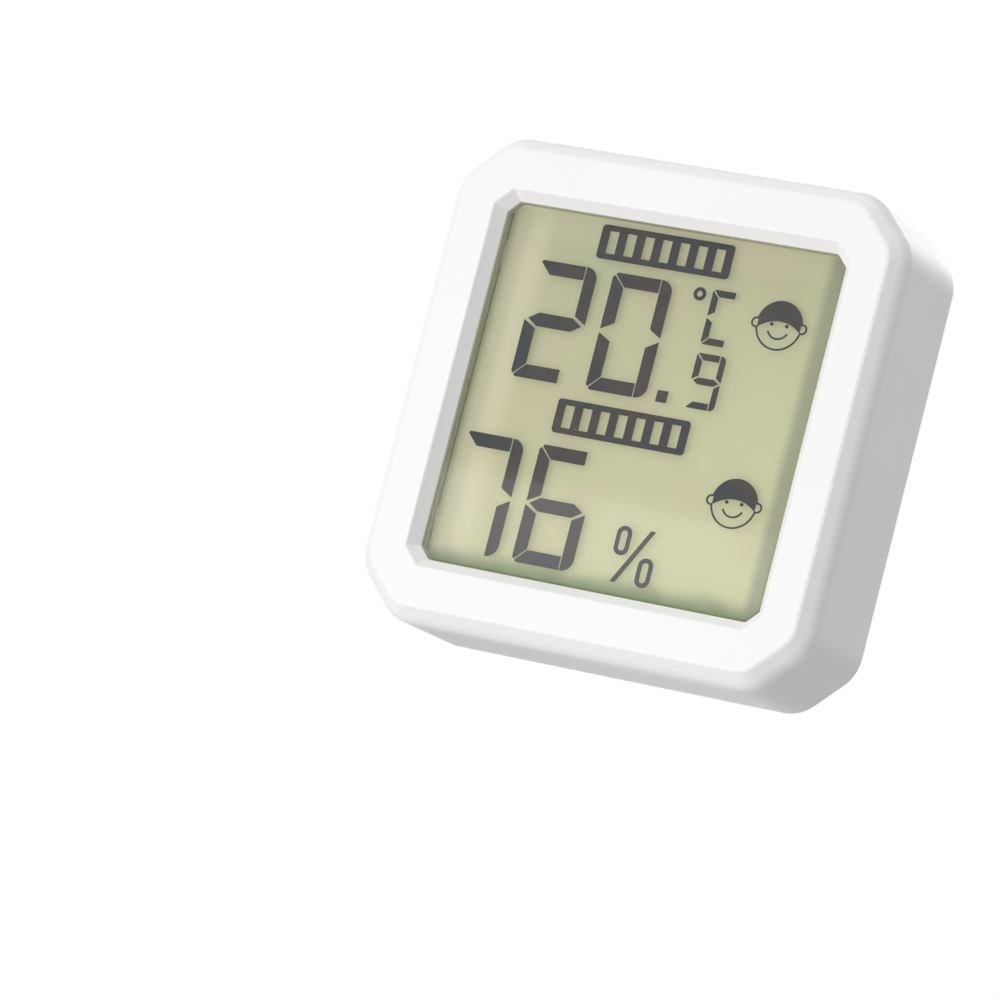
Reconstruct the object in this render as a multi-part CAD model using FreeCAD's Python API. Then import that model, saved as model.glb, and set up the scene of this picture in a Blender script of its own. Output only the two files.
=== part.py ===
import FreeCAD, Part
import math
import os

# Small square thermometer and hygrometer with a reflective display.
# The origin is at the middle of the bottom edge. +X is right and +Z is up as seen from the front,
# and the display faces -Y. Depths are in millimetres behind the front face, and the body is as
# deep as the display, the board, the cell and the cover behind each other need.

# Outer body
body_width = 46.0
body_height = 46.0
corner_cut = 4.6
corner_round = 3.9
front_bevel = 1.4
bevel_front_round = 0.6
bevel_side_round = 2.0
back_edge_round = 0.3
wall = 1.6
rear_rim = 1.05
thin_round = 0.25

# Display opening in the front wall
side_border = 5.8
end_border = 6.1
window_width = body_width - 2 * side_border
window_height = body_height - 2 * end_border
window_cut = 1.06
recess_slope = 0.9
recess_depth = 1.2
lip_thick = 0.7

# Clearances
fit_gap = 0.1
run_gap = 0.05
loose_gap = 0.25
glue_gap = 0.02

# Display stack, front to back
window_sink = 0.1
window_edge = 0.15
adhesive_thick = 0.1
adhesive_inset = 0.25
flange_thick = 0.5
flange_reach = 0.8
flange_width = window_width + 2 * flange_reach
flange_height = window_height + 2 * flange_reach
flange_cut = 1.5
polarizer_thick = 0.15
glass_thick = 0.5
segment_thick = 0.06
reflector_thick = 0.15
lcd_width = flange_width
lcd_height = flange_height
lcd_film_inset = 0.1
contact_ledge = 1.6
zebra_end = 3.0
zebra_length = lcd_width - 2 * zebra_end
zebra_width = 1.3
zebra_margin = 0.1

# Frame that holds the display on the board
holder_thick = 0.96
holder_margin = 2.7
holder_round = 1.0
holder_web = 3.0
holder_hook_width = 4.0
holder_hook_reach = 0.5
holder_hook_thick = 0.9

# Circuit board
board_thick = 0.8
board_inset = 2.4
board_screw_inset = 5.0
board_screw_x = lcd_width / 2 - board_screw_inset
board_screw_drop = 3.8
board_screw_shank = 0.65
board_screw_head = 1.3
board_screw_head_thick = 0.7
board_screw_length = 2.6

# Screws that close the housing
housing_screw_side = 3.05
housing_screw_end = 10.5
housing_screw_x = body_width / 2 - housing_screw_side
housing_screw_z = body_height / 2 - housing_screw_end
housing_boss = 1.7
housing_screw_shank = 0.7
housing_screw_head = 1.4
housing_screw_head_thick = 0.8
housing_screw_length = 5.6
housing_screw_sink = 0.05
screw_recess_width = 0.32
screw_recess_length = 1.5
screw_recess_depth = 0.4

# Back plate
plate_sink = 0.2
plate_thick = 1.2
plate_round = 0.25

# Coin cell and its cover
cell_radius = 10.0
cell_thick = 3.2
cell_rim = 0.5
cell_seal_width = 0.8
cell_seal_radius = cell_radius - cell_rim
cell_cap_radius = cell_seal_radius - cell_seal_width
cell_cap_rise = 0.55
cell_seal_drop = 0.25
cell_edge_round = 0.4
cell_spring_rise = 0.4
cell_float = 0.16
skirt_gap = 0.6
skirt_radius = cell_radius + skirt_gap
skirt_thick = 1.3
cover_lip = 1.2
cover_radius = skirt_radius + cover_lip
cover_bore = cover_radius + fit_gap
cover_thick = 1.15
ledge_thick = 0.8
tab_reach = 0.7
tab_thick = 0.85
tab_angle = 28.0
notch_angle = 36.0
tab_count = 3
cover_turn = 45.0
bay_wall = 1.1
bay_floor_gap = 1.0
coin_slot_length = 15.0
coin_slot_width = 1.8
coin_slot_depth = 0.8
coin_dish_radius = 5.0
cover_dot_radius = 0.5
cover_dot_depth = 0.25

# Folding stand
stand_arm = 2.4
stand_bar = 2.9
stand_foot_z = 3.3
stand_thick = 1.9
stand_round = 4.5
stand_inner_round = 2.6
stand_edge = 0.3
hinge_rise = 10.5
hinge_pin_radius = 0.8
hinge_pin_length = 1.3
stand_stop_radius = 1.6
stand_stop_cut = 0.21
stand_floor_gap = 1.38
stand_top_gap = 1.75
pocket_gap = 0.25
pocket_wall = 0.8
island_side = 0.85
island_foot = 1.15
ear_length = 1.9
ear_height = 4.4
nail_scoop_width = 9.0
nail_scoop_radius = 1.5
nail_scoop_lift = 0.45

# Keyhole for a wall screw
keyhole_margin = 0.1
keyhole_head = 3.1
keyhole_shank = 1.6
keyhole_rise = 3.8
keyhole_relief = 0.2
keyhole_pocket_depth = 2.8
keyhole_wall = 0.8

# Air slots
vent_side = 12.0
vent_drop = 8.8
vent_x = vent_side - body_width / 2
vent_z = body_height - vent_drop
vent_count = 5
vent_pitch = 1.8
vent_width = 0.9
vent_height = 6.4

# Unit button and its switch
button_side = 12.0
button_x = body_width / 2 - button_side
button_z = vent_z
button_radius = 1.9
button_proud = 0.1
button_flange = 2.5
button_flange_thick = 0.6
button_stem = 0.9
button_travel = 0.5
button_edge = 0.2
button_dish = 0.15
collar_length = 1.2
collar_wall = 0.8
switch_size = 3.6
switch_height = 2.0
plunger_radius = 0.85
plunger_rise = 0.7
plunger_depth = 0.4
switch_leg_width = 0.5
switch_leg_length = 0.6
switch_leg_thick = 0.15

# Parts on the back of the board
sensor_size = 3.0
sensor_height = 1.0
sensor_port = 0.7
sensor_x = vent_x
sensor_rise = 1.0
sensor_z = vent_z + sensor_rise
probe_radius = 0.9
probe_side = 4.6
probe_drop = 2.6
probe_x = vent_x - probe_side
probe_z = vent_z - probe_drop
probe_lift = 0.6
lead_radius = 0.2
probe_lead_length = 2.6
probe_lead_spread = 0.6
chip_x = 0.0
chip_drop = 8.4
chip_z = body_height - chip_drop
chip_radius = 4.0
chip_height = 0.9
crystal_radius = 1.0
crystal_length = 6.0
crystal_bend = 0.5
crystal_inset = 5.75
crystal_x = crystal_inset - housing_screw_x
crystal_z = 8.6
smd_length = 1.6
smd_width = 0.8
smd_height = 0.6
smd_pitch = 1.7
smd_column_x = 11.8
smd_column_z = 33.2
smd_column_count = 3
smd_row_x = 10.6
smd_row_z = 5.0
smd_row_count = 4
clamp_post_radius = 1.2
clamp_post_inset = 1.0
clamp_post_rise = 1.4

# Contacts for the coin cell
contact_thick = 0.2
negative_length = 11.0
negative_width = 4.0
positive_width = 5.0
positive_height = 3.2
positive_foot = 3.0

# Display marks, measured from the middle of the window
digit_width = 6.15
digit_height = 11.05
digit_stroke = 1.27
digit_pitch = 7.75
digit_gap = 0.13
digit_tip = 0.17
digit_left_cut = 0.45
small_width = 2.95
small_height = 5.1
small_stroke = 0.62
small_tip = 0.1
small_left_cut = 0.2
upper_row_left = -13.86
upper_row_bottom = 1.33
lower_row_left = -16.76
lower_row_bottom = -15.41
small_left = 4.09
tenths_bottom = 1.31
unit_bottom = 7.23
point_left = 1.12
point_size = 1.08
degree_x = 2.83
degree_z = 11.71
degree_outer = 0.62
degree_inner = 0.28
flag_left = -8.36
flag_width = 13.55
flag_height = 3.2
flag_round = 0.35
upper_flag_bottom = 13.39
lower_flag_bottom = -3.11
flag_bar_count = 7
flag_bar_width = 0.95
flag_bar_height = 2.1
flag_bar_pitch = 1.82
percent_upper_x = 1.46
percent_upper_z = -11.64
percent_lower_x = 4.29
percent_lower_z = -14.19
percent_half_width = 0.75
percent_half_height = 1.36
percent_stroke = 0.42
percent_slash_top = (4.24, -10.34)
percent_slash_foot = (1.39, -15.49)
percent_slash_width = 0.5
face_x = 11.29
face_upper_z = 10.06
face_lower_z = -6.51
face_radius = 2.3
face_stroke = 0.17
hair_radius = 3.1
hair_drop = 3.05
ear_radius = 0.5
eye_spread = 0.75
eye_lift = 0.05
eye_radius = 0.17
smile_radius = 1.15
smile_angle = 130.0

# Places worked out from the sizes above
stand_width = 2 * (cover_bore + island_side + pocket_gap + stand_arm)
battery_z = stand_foot_z + stand_bar + pocket_gap + island_foot + cover_bore
hinge_z = battery_z + hinge_rise
keyhole_z = battery_z + cover_bore + keyhole_margin + keyhole_head + keyhole_relief + keyhole_wall
clamp_post_x = stand_width / 2 - clamp_post_inset
clamp_post_z = stand_foot_z + clamp_post_rise
mid_z = body_height / 2
board_screw_z = body_height - board_screw_drop

# Depths worked out from the sizes above, from the window to the cover
lip_back = recess_depth + lip_thick
window_front = recess_depth + window_sink
flange_front = lip_back + adhesive_thick
flange_back = flange_front + flange_thick
polarizer_front = flange_back + glue_gap
front_glass_front = polarizer_front + polarizer_thick + glue_gap
segment_front = front_glass_front + glass_thick + glue_gap
segment_back = segment_front + segment_thick
rear_glass_front = segment_back + glue_gap
reflector_front = rear_glass_front + glass_thick + glue_gap
holder_front = reflector_front + reflector_thick + glue_gap
board_front = holder_front + holder_thick
board_back = board_front + board_thick
cell_front = board_back + cell_spring_rise
cell_back = cell_front + cell_thick
tab_front = cell_back + cell_float
tab_back = tab_front + tab_thick
groove_front = tab_front - fit_gap
ledge_front = tab_back + run_gap
ledge_back = ledge_front + ledge_thick
plate_back = ledge_back + run_gap + cover_thick
plate_front = plate_back - plate_thick
body_depth = plate_back + plate_sink
hinge_depth = plate_back - fit_gap - stand_thick / 2
pocket_floor = hinge_depth - stand_floor_gap
pocket_top = hinge_z + stand_top_gap
keyhole_floor = plate_front - keyhole_pocket_depth
switch_back = board_back + switch_height
plunger_back = switch_back + plunger_rise
collar_front = plate_front - collar_length
button_flange_back = collar_front - run_gap
ledge_bore = skirt_radius + fit_gap
groove_radius = skirt_radius + tab_reach + fit_gap


def at(depth):
    """The y of a plane that lies so far behind the front face."""
    return depth - body_depth / 2


def unit(vector):
    return vector / vector.Length


def outline(points, radius, depth):
    """A closed wire in a plane parallel to the front, with every corner rounded."""
    radii = radius if isinstance(radius, (list, tuple)) else [radius] * len(points)
    corners = [FreeCAD.Vector(x, at(depth), z) for x, z in points]
    stops = []
    for index, corner in enumerate(corners):
        before = unit(corners[index - 1] - corner)
        after = unit(corners[(index + 1) % len(corners)] - corner)
        inwards = unit(before + after)
        half = before.getAngle(after) / 2
        setback = radii[index] / math.tan(half)
        middle = corner + inwards * (radii[index] / math.sin(half) - radii[index])
        stops.append((corner + before * setback, middle, corner + after * setback, radii[index]))
    edges = []
    for index, (start, middle, end, size) in enumerate(stops):
        if size > 0:
            edges.append(Part.Arc(start, middle, end).toShape())
        following = stops[(index + 1) % len(stops)][0]
        if (following - end).Length > 1e-6:
            edges.append(Part.LineSegment(end, following).toShape())
    return Part.Wire(edges)


def slab(points, radius, front, back):
    """A flat piece with rounded corners between two depths."""
    face = Part.Face(outline(points, radius, front))
    return face.extrude(FreeCAD.Vector(0, back - front, 0))


def octagon(half_width, half_height, cut):
    """Corner points of a rectangle with 45 degree corners, around the middle of the body."""
    x, z = half_width, half_height
    return [
        (x, mid_z - z + cut), (x, mid_z + z - cut), (x - cut, mid_z + z), (-x + cut, mid_z + z),
        (-x, mid_z + z - cut), (-x, mid_z - z + cut), (-x + cut, mid_z - z), (x - cut, mid_z - z),
    ]


def body_outline(inset):
    """Points and rounding of the body's outline, moved inwards by an even distance."""
    cut = corner_cut - inset * (2 - math.sqrt(2))
    points = octagon(body_width / 2 - inset, body_height / 2 - inset, cut)
    return points, max(corner_round - inset, thin_round)


def rectangle(left, right, bottom, top):
    return [(left, bottom), (right, bottom), (right, top), (left, top)]


def block(left, right, bottom, top, front, back):
    return Part.makeBox(right - left, back - front, top - bottom,
                        FreeCAD.Vector(left, at(front), bottom))


def disc(x, z, radius, front, back):
    return Part.makeCylinder(radius, back - front, FreeCAD.Vector(x, at(front), z),
                             FreeCAD.Vector(0, 1, 0))


def cone(x, z, front_radius, back_radius, front, back):
    return Part.makeCone(front_radius, back_radius, back - front,
                         FreeCAD.Vector(x, at(front), z), FreeCAD.Vector(0, 1, 0))


def sector(z, inner, outer, angle, width, front, back):
    """A piece of a ring around the battery axis, centred on an angle from +X."""
    ring = disc(0, z, outer, front, back).cut(disc(0, z, inner, front, back))
    reach = outer * 1.5
    spread = math.radians(width / 2)
    side = reach * math.tan(spread)
    wedge = Part.makePolygon([
        FreeCAD.Vector(0, at(front), 0), FreeCAD.Vector(reach, at(front), -side),
        FreeCAD.Vector(reach, at(front), side), FreeCAD.Vector(0, at(front), 0),
    ])
    wedge = Part.Face(wedge).extrude(FreeCAD.Vector(0, back - front, 0))
    wedge.rotate(FreeCAD.Vector(0, 0, 0), FreeCAD.Vector(0, 1, 0), -angle)
    wedge.translate(FreeCAD.Vector(0, 0, z))
    return ring.common(wedge)


def edges_at(shape, depth):
    """Edges of a shape that lie wholly in one plane parallel to the front."""
    level = at(depth)
    return [edge for edge in shape.Edges
            if abs(edge.BoundBox.YMin - level) < 1e-4 and abs(edge.BoundBox.YMax - level) < 1e-4]


def corners_of(half_x, half_z):
    """The four mirrored places around the middle of the body."""
    return [(sx * half_x, mid_z + sz * half_z) for sx in (-1, 1) for sz in (-1, 1)]


def fuse(shapes):
    whole = shapes[0]
    for shape in shapes[1:]:
        whole = whole.fuse(shape)
    return whole.removeSplitter()


def cut_all(shape, tools):
    for tool in tools:
        shape = shape.cut(tool)
    return shape


# Front case: a deep shell with a bevelled front, a sloped display recess and screw bosses
def outer_body():
    points, radius = body_outline(0)
    shell = slab(points, radius, 0, body_depth)
    shell = shell.makeChamfer(front_bevel, edges_at(shell, 0))
    shell = shell.makeFillet(bevel_side_round, edges_at(shell, front_bevel))
    shell = shell.makeFillet(bevel_front_round, edges_at(shell, 0))
    return shell.makeFillet(back_edge_round, edges_at(shell, body_depth))


def recess_funnel():
    """The sloped wall that leads from the front face down to the window."""
    half_x, half_z = window_width / 2 + fit_gap, window_height / 2 + fit_gap
    cut = window_cut + fit_gap * (2 - math.sqrt(2))
    outer_cut = cut + recess_slope * (2 - math.sqrt(2))
    foot = outline(octagon(half_x, half_z, cut), thin_round, recess_depth)
    mouth = outline(octagon(half_x + recess_slope, half_z + recess_slope, outer_cut), thin_round, 0)
    funnel = Part.makeLoft([mouth, foot], True, True)
    aperture = slab(octagon(half_x, half_z, cut), thin_round, recess_depth, lip_back)
    return funnel, aperture


def screw_boss(x, z):
    """A boss for a housing screw, tied to the side wall by a rib."""
    top = plate_front - run_gap
    post = disc(x, z, housing_boss, lip_back, top)
    side = body_width / 2 - wall / 2
    edge = math.copysign(side, x)
    rib = block(min(x, edge), max(x, edge), z - housing_boss / 2, z + housing_boss / 2,
                lip_back, top)
    return post.fuse(rib)


def front_case():
    shell = outer_body()
    inner_points, inner_radius = body_outline(wall)
    shell = shell.cut(slab(inner_points, inner_radius, lip_back, body_depth))
    rim_points, rim_radius = body_outline(rear_rim)
    shell = shell.cut(slab(rim_points, rim_radius, plate_front, body_depth))
    shell = cut_all(shell, recess_funnel())
    mouth = [edge for edge in edges_at(shell, 0)
             if abs(edge.BoundBox.Center.x) < window_width / 2 + recess_slope + fit_gap * 2
             and abs(edge.BoundBox.Center.z - mid_z) < window_height / 2 + recess_slope + fit_gap * 2]
    shell = shell.makeFillet(thin_round, mouth)
    pilot_front = plate_back - housing_screw_sink - housing_screw_length - loose_gap
    for x, z in corners_of(housing_screw_x, housing_screw_z):
        shell = shell.fuse(screw_boss(x, z))
        shell = shell.cut(disc(x, z, housing_screw_shank + run_gap, pilot_front, plate_front))
    return shell.removeSplitter()


# Display stack
def display_window():
    """Clear plate whose raised middle fills the opening and whose flange is glued behind it."""
    raised = slab(octagon(window_width / 2, window_height / 2, window_cut), thin_round,
                  window_front, flange_front)
    raised = raised.makeChamfer(window_edge, edges_at(raised, window_front))
    flange = slab(octagon(flange_width / 2, flange_height / 2, flange_cut), thin_round,
                  flange_front, flange_back)
    return raised.fuse(flange).removeSplitter()


def window_adhesive():
    grow = adhesive_inset
    ring = slab(octagon(flange_width / 2 - fit_gap, flange_height / 2 - fit_gap, flange_cut),
                thin_round, lip_back, flange_front)
    hole = slab(octagon(window_width / 2 + grow, window_height / 2 + grow, window_cut),
                thin_round, lip_back, flange_front)
    return ring.cut(hole)


def lcd_sheet(front, thick, inset, below):
    """One flat layer of the display, which may reach below the others as a contact ledge."""
    half_x = lcd_width / 2 - inset
    half_z = lcd_height / 2 - inset
    points = rectangle(-half_x, half_x, mid_z - half_z - below, mid_z + half_z)
    return slab(points, thin_round, front, front + thick)


def lcd_holder():
    """Tray behind the display, with rims over its top and bottom edges and two board hooks."""
    half_x = lcd_width / 2
    top = mid_z + lcd_height / 2
    bottom = mid_z - lcd_height / 2 - contact_ledge
    tray = slab(rectangle(-half_x, half_x, bottom - holder_margin / 3, top + holder_margin),
                holder_round, holder_front, board_front)
    upper_rim = slab(rectangle(-half_x, half_x, top + fit_gap, top + holder_margin),
                     thin_round, polarizer_front + fit_gap, holder_front)
    lower_rim = slab(rectangle(-half_x, half_x, bottom - holder_margin / 3, bottom - fit_gap),
                     thin_round, polarizer_front + fit_gap, holder_front)
    zebra_bottom = mid_z - lcd_height / 2 - contact_ledge + zebra_margin
    slot = block(-zebra_length / 2 - fit_gap, zebra_length / 2 + fit_gap, zebra_bottom - fit_gap,
                 zebra_bottom + zebra_width + fit_gap, holder_front, board_front)
    opening_x = half_x - 2 * holder_web
    opening_z = lcd_height / 2 - 2 * holder_web
    windows = [slab(rectangle(*sorted((side * holder_web / 2, side * opening_x)),
                              mid_z - opening_z, mid_z + opening_z),
                    holder_round, holder_front, board_front) for side in (-1, 1)]
    tray = cut_all(fuse([tray, upper_rim, lower_rim]), [slot] + windows)
    for x in (-board_screw_x, board_screw_x):
        tray = tray.cut(disc(x, board_screw_z,
                             board_screw_shank + run_gap,
                             board_back - board_screw_length - fit_gap, board_front))
        tray = tray.fuse(board_hook(x))
    return tray.removeSplitter()


def board_hook(x):
    """A snap hook that passes under the bottom edge of the board and catches its back."""
    board_bottom = mid_z - (body_height / 2 - board_inset)
    left, right = x - holder_hook_width / 2, x + holder_hook_width / 2
    arm_top = board_bottom + holder_hook_reach
    arm_bottom = arm_top - holder_hook_thick
    arm = block(left, right, arm_bottom, arm_top, holder_front,
                board_back + fit_gap + holder_hook_thick)
    catch = block(left, right, arm_top, arm_top + holder_hook_reach, board_back + run_gap,
                  board_back + fit_gap + holder_hook_thick)
    return arm.fuse(catch)


def zebra_strip():
    bottom = mid_z - lcd_height / 2 - contact_ledge + zebra_margin
    return block(-zebra_length / 2, zebra_length / 2, bottom, bottom + zebra_width,
                 segment_front, board_front)


# Marks on the display
def thin(face_points, clip=None):
    wire = Part.makePolygon([FreeCAD.Vector(x, at(segment_front), mid_z + z)
                             for x, z in face_points + face_points[:1]])
    solid = Part.Face(wire).extrude(FreeCAD.Vector(0, segment_thick, 0))
    return solid.common(clip) if clip else solid


def thin_disc(x, z, radius):
    return disc(x, mid_z + z, radius, segment_front, segment_back)


def thin_plate(left, bottom, width, height, radius):
    points = rectangle(left, left + width, mid_z + bottom, mid_z + bottom + height)
    return slab(points, radius, segment_front, segment_back)


def digit(left, bottom, width, height, stroke, tip, left_cut, lit):
    """Lit segments of one digit. The right strokes carry the round corners."""
    right, top, middle = left + width, bottom + height, bottom + height / 2
    inner_left, inner_right = left + stroke, right - stroke
    half = digit_gap / 2
    mitre = half * math.sqrt(2)
    shoulder = stroke * 0.5 + tip + half
    bar = stroke / 2
    shapes = {
        "a": [(left + mitre, top), (inner_right - half, top), (inner_right - half, top - stroke),
              (inner_left + mitre, top - stroke)],
        "b": [(inner_right + half, top), (right, top), (right, middle + tip),
              (inner_right + half, middle + shoulder)],
        "c": [(inner_right + half, bottom), (right, bottom), (right, middle - tip),
              (inner_right + half, middle - shoulder)],
        "d": [(left + mitre, bottom), (inner_right - half, bottom),
              (inner_right - half, bottom + stroke), (inner_left + mitre, bottom + stroke)],
        "e": [(left, bottom + mitre), (inner_left, bottom + stroke + mitre),
              (inner_left, middle - shoulder), (left, middle - tip)],
        "f": [(left, top - mitre), (inner_left, top - stroke - mitre),
              (inner_left, middle + shoulder), (left, middle + tip)],
        "g": [(left + 2 * tip, middle), (inner_left + half, middle + bar),
              (inner_right - half, middle + bar), (right - 2 * tip, middle),
              (inner_right - half, middle - bar), (inner_left + half, middle - bar)],
    }
    corner = stroke - thin_round / 2
    frame = [(left, bottom + left_cut), (left + left_cut, bottom), (right, bottom), (right, top),
             (left + left_cut, top), (left, top - left_cut)]
    clip = slab([(x, mid_z + z) for x, z in frame], [0.0, 0.0, corner, corner, 0.0, 0.0],
                segment_front, segment_back)
    return [thin(shapes[name], clip) for name in lit]


def large_digit(left, bottom, lit):
    return digit(left, bottom, digit_width, digit_height, digit_stroke, digit_tip,
                 digit_left_cut, lit)


def small_digit(left, bottom, lit):
    return digit(left, bottom, small_width, small_height, small_stroke, small_tip,
                 small_left_cut, lit)


def level_flag(bottom):
    """Dark plate with a row of clear level bars."""
    plate = thin_plate(flag_left, bottom, flag_width, flag_height, flag_round)
    first = flag_left + flag_width / 2 - (flag_bar_count - 1) * flag_bar_pitch / 2
    bars = [thin_plate(first + index * flag_bar_pitch - flag_bar_width / 2,
                       bottom + (flag_height - flag_bar_height) / 2,
                       flag_bar_width, flag_bar_height, 0.0)
            for index in range(flag_bar_count)]
    return [cut_all(plate, bars)]


def oval(x, z, half_width, half_height):
    """Thin upright oval with straight sides."""
    return thin_plate(x - half_width, z - half_height, 2 * half_width, 2 * half_height,
                      half_width * 0.98)


def percent_sign():
    marks = []
    for x, z in ((percent_upper_x, percent_upper_z), (percent_lower_x, percent_lower_z)):
        hole = oval(x, z, percent_half_width - percent_stroke, percent_half_height - percent_stroke)
        marks.append(oval(x, z, percent_half_width, percent_half_height).cut(hole))
    (top_x, top_z), (foot_x, foot_z) = percent_slash_top, percent_slash_foot
    half = percent_slash_width / 2
    marks.append(thin([(foot_x - half, foot_z), (foot_x + half, foot_z),
                       (top_x + half, top_z), (top_x - half, top_z)]))
    return marks


def smile_arc(x, z):
    ring = thin_disc(x, z, smile_radius).cut(thin_disc(x, z, smile_radius - face_stroke))
    reach = smile_radius * 2
    half = math.radians(smile_angle / 2)
    wedge = thin([(x, z), (x - reach * math.sin(half), z - reach * math.cos(half)),
                  (x, z - 2 * reach), (x + reach * math.sin(half), z - reach * math.cos(half))])
    return ring.common(wedge)


def comfort_face(x, z):
    """Plain smiling pictogram: outline with ears, cap of hair, two eyes and a smile."""
    head = thin_disc(x, z, face_radius)
    ears = [thin_disc(x + side * face_radius, z, ear_radius) for side in (-1, 1)]
    ear_holes = [thin_disc(x + side * face_radius, z, ear_radius - face_stroke) for side in (-1, 1)]
    inner = thin_disc(x, z, face_radius - face_stroke)
    ring = cut_all(fuse([head] + ears), [inner] + ear_holes)
    hair = inner.cut(thin_disc(x, z - hair_drop + face_stroke, hair_radius + face_stroke))
    eyes = [thin_disc(x + side * eye_spread, z + eye_lift, eye_radius) for side in (-1, 1)]
    return [fuse([ring, hair]), smile_arc(x, z - eye_radius)] + eyes


def lcd_segments():
    marks = []
    marks += large_digit(upper_row_left, upper_row_bottom, "abged")
    marks += large_digit(upper_row_left + digit_pitch, upper_row_bottom, "abcdef")
    marks += large_digit(lower_row_left, lower_row_bottom, "abc")
    marks += large_digit(lower_row_left + digit_pitch, lower_row_bottom, "acdefg")
    marks += small_digit(small_left, tenths_bottom, "abcdfg")
    marks += small_digit(small_left, unit_bottom, "afed")
    marks.append(thin_plate(point_left, upper_row_bottom, point_size, point_size, 0.0))
    marks.append(thin_disc(degree_x, degree_z, degree_outer).cut(
        thin_disc(degree_x, degree_z, degree_inner)))
    marks += level_flag(upper_flag_bottom) + level_flag(lower_flag_bottom)
    marks += percent_sign()
    marks += comfort_face(face_x, face_upper_z) + comfort_face(face_x, face_lower_z)
    return Part.makeCompound(marks)


# Circuit board and what is on it
def main_board():
    points, radius = body_outline(board_inset)
    board = slab(points, radius, board_front, board_back)
    for x, z in corners_of(housing_screw_x, housing_screw_z):
        board = board.cut(disc(x, z, housing_boss + loose_gap, board_front, board_back))
        edge = math.copysign(body_width / 2, x)
        board = board.cut(block(min(x, edge), max(x, edge), z - housing_boss - loose_gap,
                                z + housing_boss + loose_gap, board_front, board_back))
    for x in (-board_screw_x, board_screw_x):
        board = board.cut(disc(x, board_screw_z, board_screw_shank + fit_gap,
                               board_front, board_back))
        board = board.cut(block(x - holder_hook_width / 2 - fit_gap,
                                x + holder_hook_width / 2 + fit_gap, board_inset - fit_gap,
                                board_inset + holder_hook_reach + fit_gap,
                                board_front, board_back))
    return board


def cross_recess(x, z, back):
    half_width, half_length = screw_recess_width / 2, screw_recess_length / 2
    front = back - screw_recess_depth
    return [block(x - half_length, x + half_length, z - half_width, z + half_width, front, back),
            block(x - half_width, x + half_width, z - half_length, z + half_length, front, back)]


def board_screws():
    screws = []
    z = board_screw_z
    head_back = board_back + board_screw_head_thick
    for x in (-board_screw_x, board_screw_x):
        head = disc(x, z, board_screw_head, board_back, head_back)
        head = head.makeChamfer(thin_round, edges_at(head, head_back))
        shank = disc(x, z, board_screw_shank, board_back - board_screw_length, board_back)
        screws.append(cut_all(head.fuse(shank), cross_recess(x, z, head_back)))
    return Part.makeCompound(screws)


def housing_screws():
    """Countersunk screws that hold the back plate."""
    screws = []
    head_back = plate_back - housing_screw_sink
    head_front = head_back - housing_screw_head_thick
    for x, z in corners_of(housing_screw_x, housing_screw_z):
        head = cone(x, z, housing_screw_shank, housing_screw_head, head_front, head_back)
        shank = disc(x, z, housing_screw_shank, head_back - housing_screw_length, head_front)
        screws.append(cut_all(head.fuse(shank), cross_recess(x, z, head_back)))
    return Part.makeCompound(screws)


def controller_chip():
    """The drop of black resin over the bare controller die."""
    dome_radius = (chip_radius ** 2 + chip_height ** 2) / (2 * chip_height)
    centre = FreeCAD.Vector(chip_x, at(board_back + chip_height - dome_radius), chip_z)
    ball = Part.makeSphere(dome_radius, centre)
    keep = disc(chip_x, chip_z, chip_radius + fit_gap, board_back, board_back + chip_height)
    return ball.common(keep)


def board_components():
    """Ceramic capacitors and resistors in two short rows."""
    places = [(smd_column_x, smd_column_z - index * smd_pitch) for index in range(smd_column_count)]
    places += [(smd_row_x - index * (smd_length + smd_width), smd_row_z)
               for index in range(smd_row_count)]
    chips = []
    for x, z in places:
        chip = block(x - smd_length / 2, x + smd_length / 2, z - smd_width / 2,
                     z + smd_width / 2, board_back, board_back + smd_height)
        chips.append(chip)
    return Part.makeCompound(chips)


def clock_crystal():
    """Cylindrical crystal lying on the board, with its two leads bent down to it."""
    lift = board_back + crystal_radius
    left = crystal_x - crystal_length / 2
    can = Part.makeCylinder(crystal_radius, crystal_length, FreeCAD.Vector(left, at(lift), crystal_z),
                            FreeCAD.Vector(1, 0, 0))
    right = left + crystal_length
    leads = [bent_lead(right - crystal_bend, right + 2 * crystal_bend, lift,
                       crystal_z + side * crystal_radius / 2) for side in (-1, 1)]
    return fuse([can] + leads)


def bent_lead(left, right, depth, z):
    """A round wire that runs along +X and bends down to the board."""
    bend = crystal_bend
    turn = bend * math.sin(math.radians(45))
    start = FreeCAD.Vector(left, at(depth), z)
    bend_start = FreeCAD.Vector(right - bend, at(depth), z)
    bend_middle = FreeCAD.Vector(right - bend + turn, at(depth - bend) + turn, z)
    bend_end = FreeCAD.Vector(right, at(depth - bend), z)
    foot = FreeCAD.Vector(right, at(board_back), z)
    path = Part.Wire([Part.LineSegment(start, bend_start).toShape(),
                      Part.Arc(bend_start, bend_middle, bend_end).toShape(),
                      Part.LineSegment(bend_end, foot).toShape()])
    section = Part.Wire(Part.makeCircle(lead_radius, start, FreeCAD.Vector(1, 0, 0)))
    return path.makePipeShell([section], True, True)


def humidity_sensor():
    """Small sensor package with its port facing the air slots."""
    half = sensor_size / 2
    top = board_back + sensor_height
    package = block(sensor_x - half, sensor_x + half, sensor_z - half, sensor_z + half,
                    board_back, top)
    package = package.makeChamfer(thin_round / 2, edges_at(package, top))
    return package.cut(disc(sensor_x, sensor_z, sensor_port, top - sensor_height / 2, top))


def temperature_probe():
    """Resin bead thermistor on two leads."""
    centre_depth = board_back + probe_lift + probe_lead_length
    bead = Part.makeSphere(probe_radius, FreeCAD.Vector(probe_x, at(centre_depth), probe_z))
    leads = [disc(probe_x + side * probe_lead_spread, probe_z, lead_radius, board_back, centre_depth)
             for side in (-1, 1)]
    return fuse([bead] + leads)


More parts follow.
